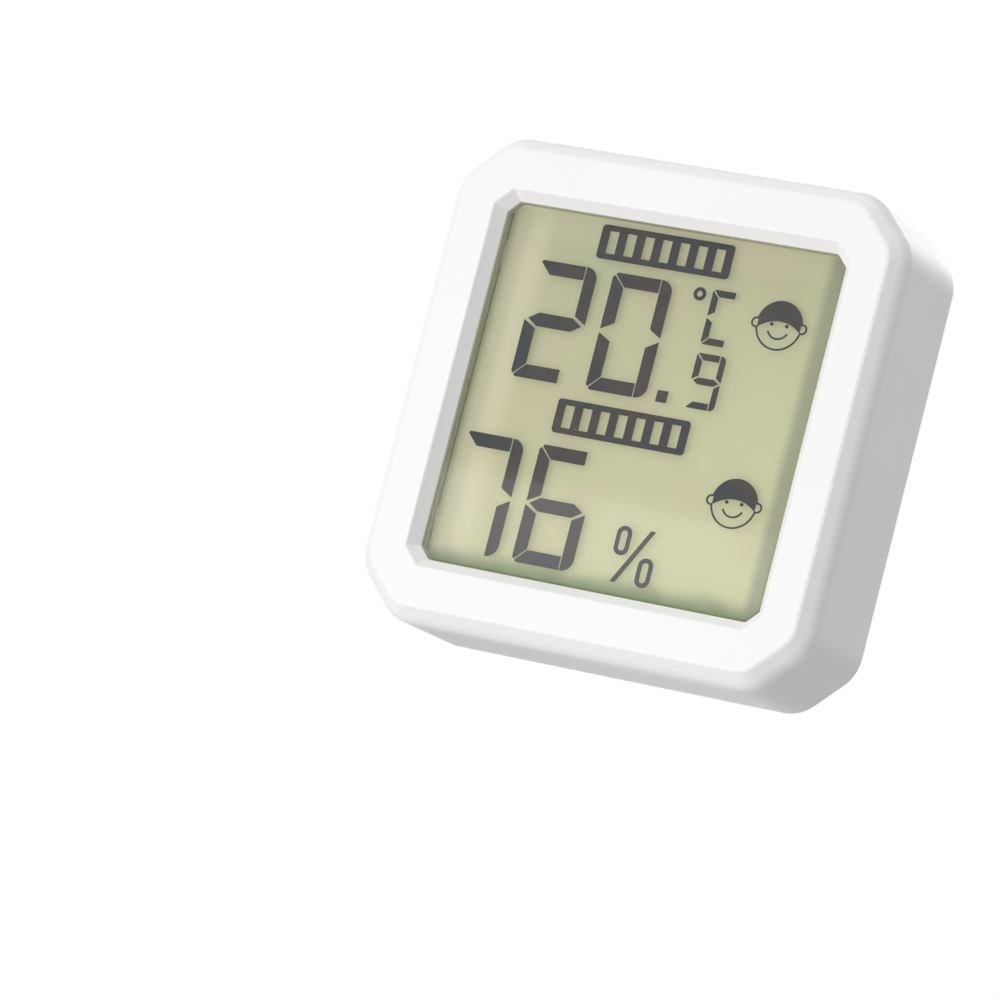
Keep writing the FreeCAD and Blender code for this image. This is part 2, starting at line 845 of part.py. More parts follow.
# Unit switch and button
def unit_switch():
    half = switch_size / 2
    base = block(button_x - half, button_x + half, button_z - half, button_z + half,
                 board_back, switch_back)
    base = base.makeChamfer(thin_round, edges_at(base, switch_back))
    well = disc(button_x, button_z, plunger_radius + fit_gap,
                switch_back - plunger_depth - button_travel - fit_gap, switch_back)
    reach = half + switch_leg_length
    legs = [block(button_x - reach, button_x + reach,
                  button_z + side * half / 2 - switch_leg_width / 2,
                  button_z + side * half / 2 + switch_leg_width / 2,
                  board_back, board_back + switch_leg_thick) for side in (-1, 1)]
    return fuse([base.cut(well)] + legs)


def switch_plunger():
    plunger = disc(button_x, button_z, plunger_radius, switch_back - plunger_depth, plunger_back)
    return plunger.makeChamfer(thin_round / 2, edges_at(plunger, plunger_back))


def unit_button():
    """Round key with a dished top, a flange that keeps it in, and a stem to the switch."""
    top = plate_back + button_proud
    flange_front = button_flange_back - button_flange_thick
    cap = disc(button_x, button_z, button_radius, flange_front, top)
    cap = cap.makeFillet(button_edge, edges_at(cap, top))
    dish_radius = (button_radius ** 2 + button_dish ** 2) / (2 * button_dish)
    dish = Part.makeSphere(dish_radius, FreeCAD.Vector(
        button_x, at(top - button_dish + dish_radius), button_z))
    flange = disc(button_x, button_z, button_flange, flange_front, button_flange_back)
    stem = disc(button_x, button_z, button_stem, plunger_back, flange_front)
    return fuse([cap, flange, stem]).cut(dish)


# Coin cell and contacts
def coin_cell_can():
    can = disc(0, battery_z, cell_radius, cell_front + cell_cap_rise, cell_back)
    can = can.makeFillet(cell_edge_round, edges_at(can, cell_back))
    rim = disc(0, battery_z, cell_radius, cell_front + cell_seal_drop,
               cell_front + cell_cap_rise).cut(
        disc(0, battery_z, cell_seal_radius, cell_front + cell_seal_drop,
             cell_front + cell_cap_rise))
    return fuse([can, rim])


def coin_cell_seal():
    depth = (cell_front + cell_seal_drop, cell_front + cell_cap_rise)
    return disc(0, battery_z, cell_seal_radius, *depth).cut(
        disc(0, battery_z, cell_cap_radius, *depth))


def coin_cell_cap():
    cap = disc(0, battery_z, cell_cap_radius, cell_front, cell_front + cell_cap_rise)
    return cap.makeChamfer(cell_cap_rise / 3, edges_at(cap, cell_front))


def strip(profile, bottom, top):
    """A bent metal strip: a profile of x and depth, pushed along Z."""
    corners = [FreeCAD.Vector(x, at(depth), bottom) for x, depth in profile + profile[:1]]
    return Part.Face(Part.makePolygon(corners)).extrude(FreeCAD.Vector(0, 0, top - bottom))


def battery_contact_negative():
    """Leaf spring that lifts off the board to press on the cell's cap."""
    half = negative_length / 2
    low, high = board_back, cell_front
    thick = contact_thick
    upper = [(-half, low + thick), (-half / 2, low + thick), (half / 4, high),
             (half / 2, high), (half, low + 2 * thick)]
    lower = [(half, low + thick), (half / 2, high - thick), (half / 4, high - thick),
             (-half / 2, low), (-half, low)]
    return strip(upper + lower, battery_z - negative_width / 2, battery_z + negative_width / 2)


def battery_contact_positive():
    """Angle clip against the side of the can, soldered to the board by its foot."""
    inner = cell_radius + run_gap
    outer = inner + contact_thick
    low = board_back
    profile = [(inner, low), (inner + positive_foot, low), (inner + positive_foot, low + contact_thick),
               (outer, low + contact_thick), (outer, low + positive_height),
               (inner, low + positive_height)]
    return strip(profile, battery_z - positive_width / 2, battery_z + positive_width / 2)


# Back plate
def stand_outline(grow):
    """Outer and inner outlines of the stand's U, widened by a gap on every side."""
    half = stand_width / 2 + grow
    arm_inside = stand_width / 2 - stand_arm - grow
    foot = stand_foot_z - grow
    bar_top = stand_foot_z + stand_bar + grow
    return half, arm_inside, foot, bar_top


def stand_pocket(grow, front, back, top):
    half, arm_inside, foot, bar_top = stand_outline(grow)
    outer = slab(rectangle(-half, half, foot, top), [stand_round, stand_round, 0.0, 0.0],
                 front, back)
    island = slab(rectangle(-arm_inside, arm_inside, bar_top, top),
                  [stand_inner_round, stand_inner_round, 0.0, 0.0], front, back)
    return outer, island


def hinge_ears():
    """Blocks beside the top of the pocket with blind holes for the stand's pins."""
    ears, holes = [], []
    inner = stand_width / 2 + pocket_gap
    for side in (-1, 1):
        left, right = sorted((side * inner, side * (inner + ear_length)))
        ears.append(block(left, right, hinge_z - ear_height / 2, hinge_z + ear_height / 2,
                          pocket_floor - pocket_wall, plate_front))
        length = hinge_pin_length + fit_gap
        start = side * stand_width / 2
        holes.append(Part.makeCylinder(hinge_pin_radius + run_gap, length,
                                       FreeCAD.Vector(start, at(hinge_depth), hinge_z),
                                       FreeCAD.Vector(side, 0, 0)))
    return ears, holes


def keyhole_tools():
    """Cup, inner pocket and cut-out of the keyhole."""
    def long_hole(radius, front, back):
        low = disc(0, keyhole_z, radius, front, back)
        high = disc(0, keyhole_z + keyhole_rise, radius, front, back)
        link = block(-radius, radius, keyhole_z, keyhole_z + keyhole_rise, front, back)
        return fuse([low, high, link])

    head = keyhole_head + keyhole_relief
    cup = long_hole(head + keyhole_wall, keyhole_floor - keyhole_wall, plate_front)
    pocket = long_hole(head, keyhole_floor, plate_front)
    entry = disc(0, keyhole_z, keyhole_head, plate_front, plate_back)
    neck = long_hole(keyhole_shank, plate_front, plate_back)
    return cup, [pocket, entry, neck]


def battery_bay():
    """Round wall around the cell with the ledge, groove and notches of the bayonet."""
    bay_front = board_back + bay_floor_gap
    tube = disc(0, battery_z, groove_radius + bay_wall, bay_front, plate_front)
    tools = [
        disc(0, battery_z, cover_bore, ledge_back, plate_back),
        disc(0, battery_z, ledge_bore, bay_front, plate_back),
        disc(0, battery_z, groove_radius, groove_front, ledge_front),
    ]
    tools += [sector(battery_z, ledge_bore - fit_gap, groove_radius,
                     tab_position(index) - cover_turn, notch_angle, ledge_front, ledge_back)
              for index in range(tab_count)]
    return tube, tools


def tab_position(index):
    return 90.0 + index * 360.0 / tab_count


def back_plate():
    points, radius = body_outline(rear_rim + fit_gap)
    plate = slab(points, radius, plate_front, plate_back)
    plate = plate.makeFillet(plate_round, edges_at(plate, plate_back))
    pocket_outer, island = stand_pocket(pocket_gap, pocket_floor, plate_back, pocket_top)
    wall_outer, wall_island = stand_pocket(pocket_gap + pocket_wall, pocket_floor - pocket_wall,
                                           plate_front, pocket_top + pocket_wall)
    tube, bay_tools = battery_bay()
    ears, pin_holes = hinge_ears()
    cup, keyhole_cuts = keyhole_tools()
    collar = disc(button_x, button_z, button_radius + fit_gap + collar_wall, collar_front, plate_front)
    posts = [disc(side * clamp_post_x, clamp_post_z, clamp_post_radius, board_back + run_gap,
                  pocket_floor) for side in (-1, 1)]
    plate = fuse([plate, wall_outer.cut(wall_island), tube, cup, collar] + ears + posts)
    scoop = Part.makeCylinder(nail_scoop_radius, nail_scoop_width,
                              FreeCAD.Vector(-nail_scoop_width / 2,
                                             at(plate_back + nail_scoop_lift),
                                             stand_foot_z - pocket_gap),
                              FreeCAD.Vector(1, 0, 0))
    cuts = [pocket_outer.cut(island), scoop] + bay_tools + pin_holes + keyhole_cuts
    cuts.append(disc(button_x, button_z, button_radius + fit_gap, collar_front, plate_back))
    first = vent_x - (vent_count - 1) * vent_pitch / 2
    for index in range(vent_count):
        x = first + index * vent_pitch
        slot = rectangle(x - vent_width / 2, x + vent_width / 2, vent_z - vent_height / 2,
                         vent_z + vent_height / 2)
        cuts.append(slab(slot, vent_width * 0.49, plate_front, plate_back))
    head_back = plate_back - housing_screw_sink
    for x, z in corners_of(housing_screw_x, housing_screw_z):
        cuts.append(disc(x, z, housing_screw_shank + fit_gap, plate_front, plate_back))
        cuts.append(cone(x, z, housing_screw_shank + fit_gap, housing_screw_head + fit_gap,
                         head_back - housing_screw_head_thick, head_back))
        cuts.append(disc(x, z, housing_screw_head + fit_gap, head_back, plate_back))
    return cut_all(plate, cuts).removeSplitter()


# Battery cover: a coin-turned bayonet lid
def battery_cover():
    front = plate_back - cover_thick
    lid = disc(0, battery_z, cover_radius, front, plate_back)
    lid = lid.makeFillet(plate_round, edges_at(lid, plate_back))
    skirt = disc(0, battery_z, skirt_radius, tab_front, front).cut(
        disc(0, battery_z, skirt_radius - skirt_thick, tab_front, front))
    tabs = [sector(battery_z, skirt_radius - run_gap, skirt_radius + tab_reach,
                   tab_position(index), tab_angle, tab_front, tab_back)
            for index in range(tab_count)]
    floor = plate_back - coin_slot_depth
    slot = slab(rectangle(-coin_slot_length / 2, coin_slot_length / 2,
                          battery_z - coin_slot_width / 2, battery_z + coin_slot_width / 2),
                coin_slot_width * 0.49, floor, plate_back)
    ball_radius = (coin_dish_radius ** 2 + coin_slot_depth ** 2) / (2 * coin_slot_depth)
    dish = Part.makeSphere(ball_radius, FreeCAD.Vector(
        0, at(floor + ball_radius), battery_z)).common(
        disc(0, battery_z, coin_dish_radius, floor, plate_back))
    mark_z = battery_z + cover_radius - 3 * cover_dot_radius
    dot = disc(0, mark_z, cover_dot_radius, plate_back - cover_dot_depth, plate_back)
    return cut_all(fuse([lid, skirt] + tabs), [slot, dish, dot])


# Stand: a U that folds around the battery cover and turns on two moulded pins
def stand_leg():
    front = hinge_depth - stand_thick / 2
    back = hinge_depth + stand_thick / 2
    half, arm_inside, foot, bar_top = stand_outline(0)
    outer = slab(rectangle(-half, half, foot, hinge_z), [stand_round, stand_round, 0.0, 0.0],
                 front, back)
    inner = slab(rectangle(-arm_inside, arm_inside, bar_top, hinge_z),
                 [stand_inner_round, stand_inner_round, 0.0, 0.0], front, back)
    leg = outer.cut(inner)
    leg = leg.makeFillet(stand_edge, [edge for edge in edges_at(leg, back)
                                      if edge.BoundBox.ZMax < hinge_z - fit_gap
                                      or edge.BoundBox.ZLength > stand_arm])
    pieces = [leg]
    for side in (-1, 1):
        left, right = sorted((side * arm_inside, side * half))
        pieces.append(stand_knuckle(left, right))
        pin = Part.makeCylinder(hinge_pin_radius, hinge_pin_length,
                                FreeCAD.Vector(side * half, at(hinge_depth), hinge_z),
                                FreeCAD.Vector(side, 0, 0))
        pieces.append(pin.makeChamfer(hinge_pin_radius / 4, [
            edge for edge in pin.Edges
            if abs(abs(edge.BoundBox.Center.x) - half - hinge_pin_length) < 1e-4]))
    return fuse(pieces)


def stand_knuckle(left, right):
    """Round end of one arm, with a heel above it that meets the pocket floor when open."""
    centre = FreeCAD.Vector(left, at(hinge_depth), hinge_z)
    along = FreeCAD.Vector(1, 0, 0)
    barrel = Part.makeCylinder(stand_thick / 2, right - left, centre, along)
    cam = Part.makeCylinder(stand_stop_radius, right - left, centre, along)
    keep = block(left, right, hinge_z, hinge_z + stand_stop_radius,
                 hinge_depth - stand_stop_cut, hinge_depth + stand_thick / 2)
    return barrel.fuse(cam.common(keep))


def parts():
    """Every piece of the product, by name."""
    film = lcd_film_inset
    return {
        "front_case": front_case(),
        "display_window": display_window(),
        "window_adhesive": window_adhesive(),
        "lcd_front_polarizer": lcd_sheet(polarizer_front, polarizer_thick, film, 0),
        "lcd_front_glass": lcd_sheet(front_glass_front, glass_thick, 0, contact_ledge),
        "lcd_segments": lcd_segments(),
        "lcd_rear_glass": lcd_sheet(rear_glass_front, glass_thick, 0, 0),
        "lcd_reflector": lcd_sheet(reflector_front, reflector_thick, film, 0),
        "lcd_holder": lcd_holder(),
        "zebra_strip": zebra_strip(),
        "main_board": main_board(),
        "board_screws": board_screws(),
        "controller_chip": controller_chip(),
        "board_components": board_components(),
        "clock_crystal": clock_crystal(),
        "humidity_sensor": humidity_sensor(),
        "temperature_probe": temperature_probe(),
        "unit_switch": unit_switch(),
        "switch_plunger": switch_plunger(),
        "unit_button": unit_button(),
        "battery_contact_negative": battery_contact_negative(),
        "battery_contact_positive": battery_contact_positive(),
        "coin_cell_can": coin_cell_can(),
        "coin_cell_seal": coin_cell_seal(),
        "coin_cell_cap": coin_cell_cap(),
        "battery_cover": battery_cover(),
        "back_plate": back_plate(),
        "stand_leg": stand_leg(),
        "housing_screws": housing_screws(),
    }


os.makedirs("parts", exist_ok=True)
for name, shape in parts().items():
    shape.exportStep("parts/" + name + ".step")
    print(name, len(shape.Solids), round(shape.Volume, 3), shape.isValid())
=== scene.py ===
"""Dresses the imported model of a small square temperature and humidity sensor.

Every length is in metres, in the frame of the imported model: the object stands on z = 0,
+X is right and +Z up as seen from the front, and the display faces -Y.
"""
import functools
import logging
import math
from dataclasses import dataclass, field
from enum import Enum
from typing import Callable, Sequence

import bmesh
import bpy
from mathutils import Matrix, Vector


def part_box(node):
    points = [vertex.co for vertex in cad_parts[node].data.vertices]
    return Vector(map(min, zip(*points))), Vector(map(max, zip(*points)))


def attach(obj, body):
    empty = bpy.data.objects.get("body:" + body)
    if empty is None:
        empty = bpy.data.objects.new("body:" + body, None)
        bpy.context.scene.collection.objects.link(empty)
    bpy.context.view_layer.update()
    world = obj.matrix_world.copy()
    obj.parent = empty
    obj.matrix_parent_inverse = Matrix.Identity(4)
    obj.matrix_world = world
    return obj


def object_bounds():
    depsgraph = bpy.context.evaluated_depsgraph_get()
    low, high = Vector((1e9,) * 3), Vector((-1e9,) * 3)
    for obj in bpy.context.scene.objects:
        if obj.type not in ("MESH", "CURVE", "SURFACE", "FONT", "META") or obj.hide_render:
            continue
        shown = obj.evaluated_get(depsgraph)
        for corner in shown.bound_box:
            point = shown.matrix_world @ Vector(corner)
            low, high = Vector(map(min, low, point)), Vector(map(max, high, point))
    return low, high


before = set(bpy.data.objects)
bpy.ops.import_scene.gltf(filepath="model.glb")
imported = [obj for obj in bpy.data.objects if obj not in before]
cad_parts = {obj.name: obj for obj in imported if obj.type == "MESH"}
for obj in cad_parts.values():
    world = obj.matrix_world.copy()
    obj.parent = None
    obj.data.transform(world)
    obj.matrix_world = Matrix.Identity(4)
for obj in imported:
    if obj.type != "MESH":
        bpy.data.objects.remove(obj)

log = logging.getLogger("sensor")

MM = 0.001
CAD_LOW, CAD_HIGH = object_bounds()
MIDDLE = (CAD_LOW + CAD_HIGH) / 2
ACROSS, UPWARDS = Vector((1.0, 0.0, 0.0)), Vector((0.0, 0.0, 1.0))
SAME_PLACE = 1e-5
SAME_LEVEL = 1e-6

Colour = tuple[float, float, float]


class Part(Enum):
    """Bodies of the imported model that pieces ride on."""

    HOUSING = "housing"
    STAND = "stand"
    COVER = "cover"


def turned_round(centre: Vector, angle: float) -> Matrix:
    """A turn round the line along Y through a point.

    Args:
        centre: The point.
        angle: The angle in radians, from +Z towards +X.

    Returns:
        The matrix.
    """
    return (Matrix.Translation(centre) @ Matrix.Rotation(angle, 4, "Y")
            @ Matrix.Translation(-centre))


def srgb(red: float, green: float, blue: float) -> Colour:
    """Turns a display colour of 0 to 255 a channel into the linear colour that a shader takes.

    Args:
        red: Red as shown on a display.
        green: Green as shown on a display.
        blue: Blue as shown on a display.

    Returns:
        The linear colour.
    """
    def channel(value: float) -> float:
        """One channel of the display curve."""
        part = value / 255.0
        return part / 12.92 if part <= 0.04045 else ((part + 0.055) / 1.055) ** 2.4

    return channel(red), channel(green), channel(blue)


# Shader writing

class Signal:
    """A shader value that can be written in arithmetic. Every operator adds a Math node."""

    def __init__(self, shader: "Shader", socket: bpy.types.NodeSocket) -> None:
        """Keeps the socket that carries the value.

        Args:
            shader: The shader that the socket belongs to.
            socket: An output socket.
        """
        self.shader = shader
        self.socket = socket

    def _apply(self, operation: str, first: object, second: object = None) -> "Signal":
        """Adds one Math node.

        Args:
            operation: The Math node's operation.
            first: The first input, a number or a Signal.
            second: The second input, where the operation has one.

        Returns:
            The node's result.
        """
        inputs = {0: first} if second is None else {0: first, 1: second}
        return self.shader.value("ShaderNodeMath", {"operation": operation}, inputs)

    def __add__(self, other: object) -> "Signal":
        """Sum."""
        return self._apply("ADD", self, other)

    __radd__ = __add__

    def __mul__(self, other: object) -> "Signal":
        """Product."""
        return self._apply("MULTIPLY", self, other)

    __rmul__ = __mul__

    def __sub__(self, other: object) -> "Signal":
        """Difference."""
        return self._apply("SUBTRACT", self, other)

    def __rsub__(self, other: object) -> "Signal":
        """Difference from a number."""
        return self._apply("SUBTRACT", other, self)

    def __gt__(self, other: object) -> "Signal":
        """One where the value is greater, else nought."""
        return self._apply("GREATER_THAN", self, other)

    def __abs__(self) -> "Signal":
        """Absolute value."""
        return self._apply("ABSOLUTE", self)

    def wave(self) -> "Signal":
        """Sine of the value in radians."""
        return self._apply("SINE", self)

    def most(self, other: object) -> "Signal":
        """The greater of two values."""
        return self._apply("MAXIMUM", self, other)

    def ramp(self, start: float, end: float) -> "Signal":
        """A smooth rise from nought at start to one at end.

        Args:
            start: The value that gives nought.
            end: The value that gives one. It may be below start.

        Returns:
            The eased share.
        """
        return self.shader.value(
            "ShaderNodeMapRange", {"interpolation_type": "SMOOTHSTEP"},
            {"Value": self, "From Min": start, "From Max": end, "To Min": 0.0, "To Max": 1.0},
            "Result")


class Shader:
    """One material's or world's node tree, written from code."""

    def __init__(self, tree: bpy.types.NodeTree) -> None:
        """Empties the tree.

        Args:
            tree: The node tree to write.
        """
        self.tree = tree
        tree.nodes.clear()

    def node(self, kind: str, settings: dict | None = None,
             sockets: dict | None = None) -> bpy.types.Node:
        """Adds a node.

        Args:
            kind: The node's type.
            settings: Its own settings, set first.
            sockets: Values, links or Signals for its inputs, by name or number.

        Returns:
            The new node.
        """
        made = self.tree.nodes.new(kind)
        for name, setting in (settings or {}).items():
            setattr(made, name, setting)
        for name, given in (sockets or {}).items():
            target = made.inputs[name]
            if isinstance(given, Signal):
                self.tree.links.new(given.socket, target)
            elif isinstance(given, bpy.types.NodeSocket):
                self.tree.links.new(given, target)
            elif target.type == "RGBA":
                target.default_value = (*given[:3], 1.0)
            else:
                target.default_value = given
        return made

    def value(self, kind: str, settings: dict | None = None, sockets: dict | None = None,
              output: str | int = 0) -> Signal:
        """Adds a node and gives one of its outputs.

        Args:
            kind: The node's type.
            settings: Its own settings.
            sockets: Its inputs.
            output: Name or number of the output.

        Returns:
            The output as a Signal.
        """
        return Signal(self, self.node(kind, settings, sockets).outputs[output])

    def place(self) -> bpy.types.NodeSocket:
        """Object coordinates, which are the frame's metres on every piece."""
        return self.node("ShaderNodeTexCoord").outputs["Object"]

    def axes(self) -> tuple[Signal, Signal, Signal]:
        """The x, y and z of the shaded point, in metres."""
        split = self.node("ShaderNodeSeparateXYZ", sockets={"Vector": self.place()})
        return tuple(Signal(self, output) for output in split.outputs)

    def noise(self, size: float, detail: float = 3.0, roughness: float = 0.5,
              stretch: tuple[float, float, float] = (1.0, 1.0, 1.0)) -> Signal:
        """Cloudy noise around 0.5.

        Args:
            size: Width of its features in metres.
            detail: Number of finer layers.
            roughness: Strength of the finer layers.
            stretch: Factor on the coordinates along each axis.

        Returns:
            The noise.
        """
        scaled = self.node("ShaderNodeMapping", sockets={"Vector": self.place(), "Scale": stretch})
        return self.value("ShaderNodeTexNoise", {"noise_dimensions": "3D"},
                          {"Vector": scaled.outputs[0], "Scale": 1.0 / size, "Detail": detail,
                           "Roughness": roughness}, "Fac")

    def blend(self, share: object, first: object, second: object) -> Signal:
        """Mixes two colours.

        Args:
            share: Share of the second colour, a number or a Signal.
            first: A colour or a Signal.
            second: A colour or a Signal.

        Returns:
            The mixed colour.
        """
        made = self.node("ShaderNodeMix", {"data_type": "RGBA"}, {0: share, 6: first, 7: second})
        return Signal(self, made.outputs[2])

    def bump(self, height: Signal, depth: float) -> Signal:
        """A normal from a height map.

        Args:
            height: Height from 0 to 1.
            depth: Height of 1 in metres.

        Returns:
            The normal.
        """
        return self.value("ShaderNodeBump", None,
                          {"Height": height, "Distance": depth, "Strength": 1.0}, "Normal")

    def principled(self, sockets: dict) -> bpy.types.Node:
        """The main surface shader."""
        return self.node("ShaderNodeBsdfPrincipled", None, sockets)

    def finish(self, surface: bpy.types.NodeSocket) -> None:
        """Links the surface to the material's output."""
        self.node("ShaderNodeOutputMaterial", None, {"Surface": surface})


class Finish:
    """A finish that can be put on pieces. Its material is made once."""

    name: str

    def write(self, shader: Shader) -> bpy.types.NodeSocket:
        """Writes the nodes and gives the surface socket."""
        raise NotImplementedError

    @functools.cache
    def material(self) -> bpy.types.Material:
        """The finish's material, made the first time it is asked for.

        Returns:
            The material.
        """
        made = bpy.data.materials.new(self.name + "_finish")
        made.use_nodes = True
        shader = Shader(made.node_tree)
        shader.finish(self.write(shader))
        return made


@dataclass(frozen=True)
class MouldedPlastic(Finish):
    """Injection-moulded plastic with a fine satin grain and a faint change of tone."""

    name: str
    colour: Colour
    roughness: float = 0.42
    grain_size: float = 0.16 * MM
    grain_depth: float = 0.004 * MM
    tone_size: float = 9 * MM
    tone_change: float = 0.015
    gloss: float = 0.5
    smudge_change: float = 0.16

    def write(self, shader: Shader) -> bpy.types.NodeSocket:
        """Grain in the bump, smudges in the roughness and a slow change of tone."""
        tone = shader.noise(self.tone_size, 2.0)
        grain = shader.noise(self.grain_size, 2.0, 0.6)
        smudge = shader.noise(self.tone_size / 3, 4.0, 0.6)
        darker = tuple(channel * (1.0 - 2.0 * self.tone_change) for channel in self.colour)
        return shader.principled({
            "Base Color": shader.blend(tone, darker, self.colour),
            "Roughness": smudge * self.smudge_change + (self.roughness - self.smudge_change / 2),
            "Specular IOR Level": self.gloss,
            "Normal": shader.bump(grain, self.grain_depth),
        }).outputs[0]


@dataclass(frozen=True)
class PlatedMetal(Finish):
    """Plated or bare metal with fine drawing lines and a little staining."""

    name: str
    colour: Colour
    roughness: float = 0.28
    line_size: float = 0.12 * MM
    line_stretch: tuple[float, float, float] = (0.08, 1.0, 1.0)
    line_depth: float = 0.002 * MM
    line_change: float = 0.2
    stain_size: float = 3 * MM
    stain_depth: float = 0.82

    def write(self, shader: Shader) -> bpy.types.NodeSocket:
        """Lines in the roughness and bump, stains in the colour."""
        lines = shader.noise(self.line_size, 2.0, 0.5, self.line_stretch)
        stain = shader.noise(self.stain_size, 4.0, 0.65)
        dull = tuple(channel * self.stain_depth for channel in self.colour)
        return shader.principled({
            "Base Color": shader.blend(stain, dull, self.colour),
            "Metallic": 1.0,
            "Roughness": lines * self.line_change + (self.roughness - self.line_change / 2),
            "Normal": shader.bump(lines, self.line_depth),
        }).outputs[0]


@dataclass(frozen=True)
class ClearPlate(Finish):
    """Clear sheet that lets light straight through and shows its gloss by Fresnel."""

    name: str
    tint: Colour = (1.0, 1.0, 1.0)
    ior: float = 1.49
    gloss: float = 0.8
    roughness: float = 0.03
    haze_colour: Colour = (0.8, 0.8, 0.8)
    dust: float = 0.0
    dust_pitch: float = 1.7 * MM
    dust_share: float = 0.45
    painted_edge_tone: Colour | None = None
    edge_tilt: float = 0.3

    def write(self, shader: Shader) -> bpy.types.NodeSocket:
        """Clear and glossy shaders mixed by Fresnel outside, specks of dust, and matt edges
        painted in a display tone that stands in for the display seen through the glass.
        """
        surface = shader.node("ShaderNodeBsdfTransparent", None, {"Color": self.tint}).outputs[0]
        if self.gloss:
            fresnel = shader.value("ShaderNodeFresnel", None, {"IOR": self.ior})
            inside = shader.value("ShaderNodeNewGeometry", None, None, "Backfacing")
            gloss = shader.node("ShaderNodeBsdfGlossy", None, {
                "Color": (1.0, 1.0, 1.0), "Roughness": self.roughness}).outputs[0]
            surface = shader.node("ShaderNodeMixShader", None, {
                0: fresnel * (1 - inside) * self.gloss, 1: surface, 2: gloss}).outputs[0]
        if self.dust:
            veil = shader.node("ShaderNodeBsdfDiffuse", None, {"Color": self.haze_colour})
            surface = shader.node("ShaderNodeMixShader", None, {
                0: self.specks(shader) * self.dust, 1: surface, 2: veil.outputs[0]}).outputs[0]
        # Painted light: the sideways edges are matt and take the display's tone, standing in for
        # the display seen through the glass.
        if self.painted_edge_tone:
            ground = shader.node("ShaderNodeBsdfDiffuse", None, {"Color": self.painted_edge_tone})
            surface = shader.node("ShaderNodeMixShader", None, {
                0: self.edges(shader), 1: surface, 2: ground.outputs[0]}).outputs[0]
        return surface

    def edges(self, shader: Shader) -> Signal:
        """The sheet's ground edges, which face sideways and carry the painted display tone.

        Args:
            shader: The shader that is being written.

        Returns:
            One on an edge, else nought.
        """
        facing = shader.node("ShaderNodeNewGeometry").outputs["True Normal"]
        depth = shader.node("ShaderNodeSeparateXYZ", None, {"Vector": facing}).outputs["Y"]
        return 1 - (abs(Signal(shader, depth)) > self.edge_tilt)

    def specks(self, shader: Shader) -> Signal:
        """Tiny round specks scattered over the sheet.

        Args:
            shader: The shader that is being written.

        Returns:
            One on a speck, else nought.
        """
        cells = shader.node("ShaderNodeTexVoronoi", {"feature": "F1"},
                            {"Vector": shader.place(), "Scale": 1 / self.dust_pitch})
        distance = Signal(shader, cells.outputs["Distance"])
        pick = shader.node("ShaderNodeSeparateColor", None, {0: cells.outputs["Color"]})
        chosen = Signal(shader, pick.outputs[0]) > 1.0 - self.dust_share
        return distance.ramp(0.045, 0.02) * chosen


@dataclass(frozen=True)
class DisplayBack(Finish):
    """Reflective back of the display, whose tone drifts over the panel, with painted light along
    its left and top edges and painted shade along its bottom and right edges.
    """

    name: str
    upper: Colour = srgb(190, 193, 156)
    lower: Colour = srgb(208, 210, 168)
    # Dark green, painted as shade along the bottom edge.
    foot: Colour = srgb(104, 132, 82)
    rosy: Colour = srgb(202, 193, 162)
    # Darker tone, painted as shade along the right edge.
    shaded: Colour = srgb(140, 146, 124)
    # Paler tone, painted as light along the left and top edges, where the frame's wall shades the
    # panel.
    painted_light: Colour = srgb(232, 228, 196)
    painted_light_left_start: float = -12.6 * MM
    painted_light_left_full: float = -15.6 * MM
    painted_light_top_start: float = 13.6 * MM
    painted_light_top_full: float = 16.6 * MM
    painted_shade_foot_top: float = 2.3 * MM
    painted_shade_foot_full: float = 1.1 * MM
    painted_shade_foot_fade: float = 0.8 * MM
    painted_shade_side_start: float = 14.0 * MM
    painted_shade_side_full: float = 15.3 * MM
    rosy_share: float = 0.55
    painted_light_left_share: float = 0.7
    painted_light_top_share: float = 0.35
    painted_shade_foot_share: float = 0.8
    painted_shade_side_share: float = 0.7
    grain_tone: Colour = (0.3, 0.31, 0.22)
    grain_share: float = 0.08
    grain_size: float = 0.09 * MM
    grain_depth: float = 0.002 * MM
    panel: str = "display_window"

    def write(self, shader: Shader) -> bpy.types.NodeSocket:
        """A tone that rises down the panel, with rosy patches, painted light along the left and
        top edges and painted shade along the bottom and right edges.
        """
        low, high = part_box(self.panel)
        x, _, z = shader.axes()
        share = (x * 0.5 - z).ramp(-high.z, -low.z)
        tone = shader.blend(share, self.upper, self.lower)
        patch = shader.noise(7 * MM, 2.0, 0.5).ramp(0.45, 0.7) * self.rosy_share
        tone = shader.blend(patch, tone, self.rosy)
        middle = (low.z + high.z) / 2
        # Painted light: the tone turns paler towards the left and top edges, where the frame's
        # wall shades the panel.
        left = x.ramp(self.painted_light_left_start, self.painted_light_left_full) * self.painted_light_left_share
        top = (z - middle).ramp(self.painted_light_top_start, self.painted_light_top_full) * self.painted_light_top_share
        tone = shader.blend(left, tone, self.painted_light)
        tone = shader.blend(top, tone, self.painted_light)
        # Painted shade: a dark green band along the bottom edge, with a wavering upper border.
        drift = shader.noise(4 * MM, 1.0) * 0.6 + 0.7
        foot = ((z - low.z) * drift).ramp(self.painted_shade_foot_top + self.painted_shade_foot_fade, self.painted_shade_foot_full)
        tone = shader.blend(foot * self.painted_shade_foot_share, tone, self.foot)
        # Painted shade: a darker band along the right edge.
        side = x.ramp(self.painted_shade_side_start, self.painted_shade_side_full) * self.painted_shade_side_share
        tone = shader.blend(side, tone, self.shaded)
        grain = shader.noise(self.grain_size, 2.0, 0.7)
        tone = shader.blend(grain * self.grain_share, tone, self.grain_tone)
        return shader.principled({
            "Base Color": tone,
            "Roughness": 0.55,
            "Specular IOR Level": 0.2,
            "Normal": shader.bump(grain, self.grain_depth),
        }).outputs[0]


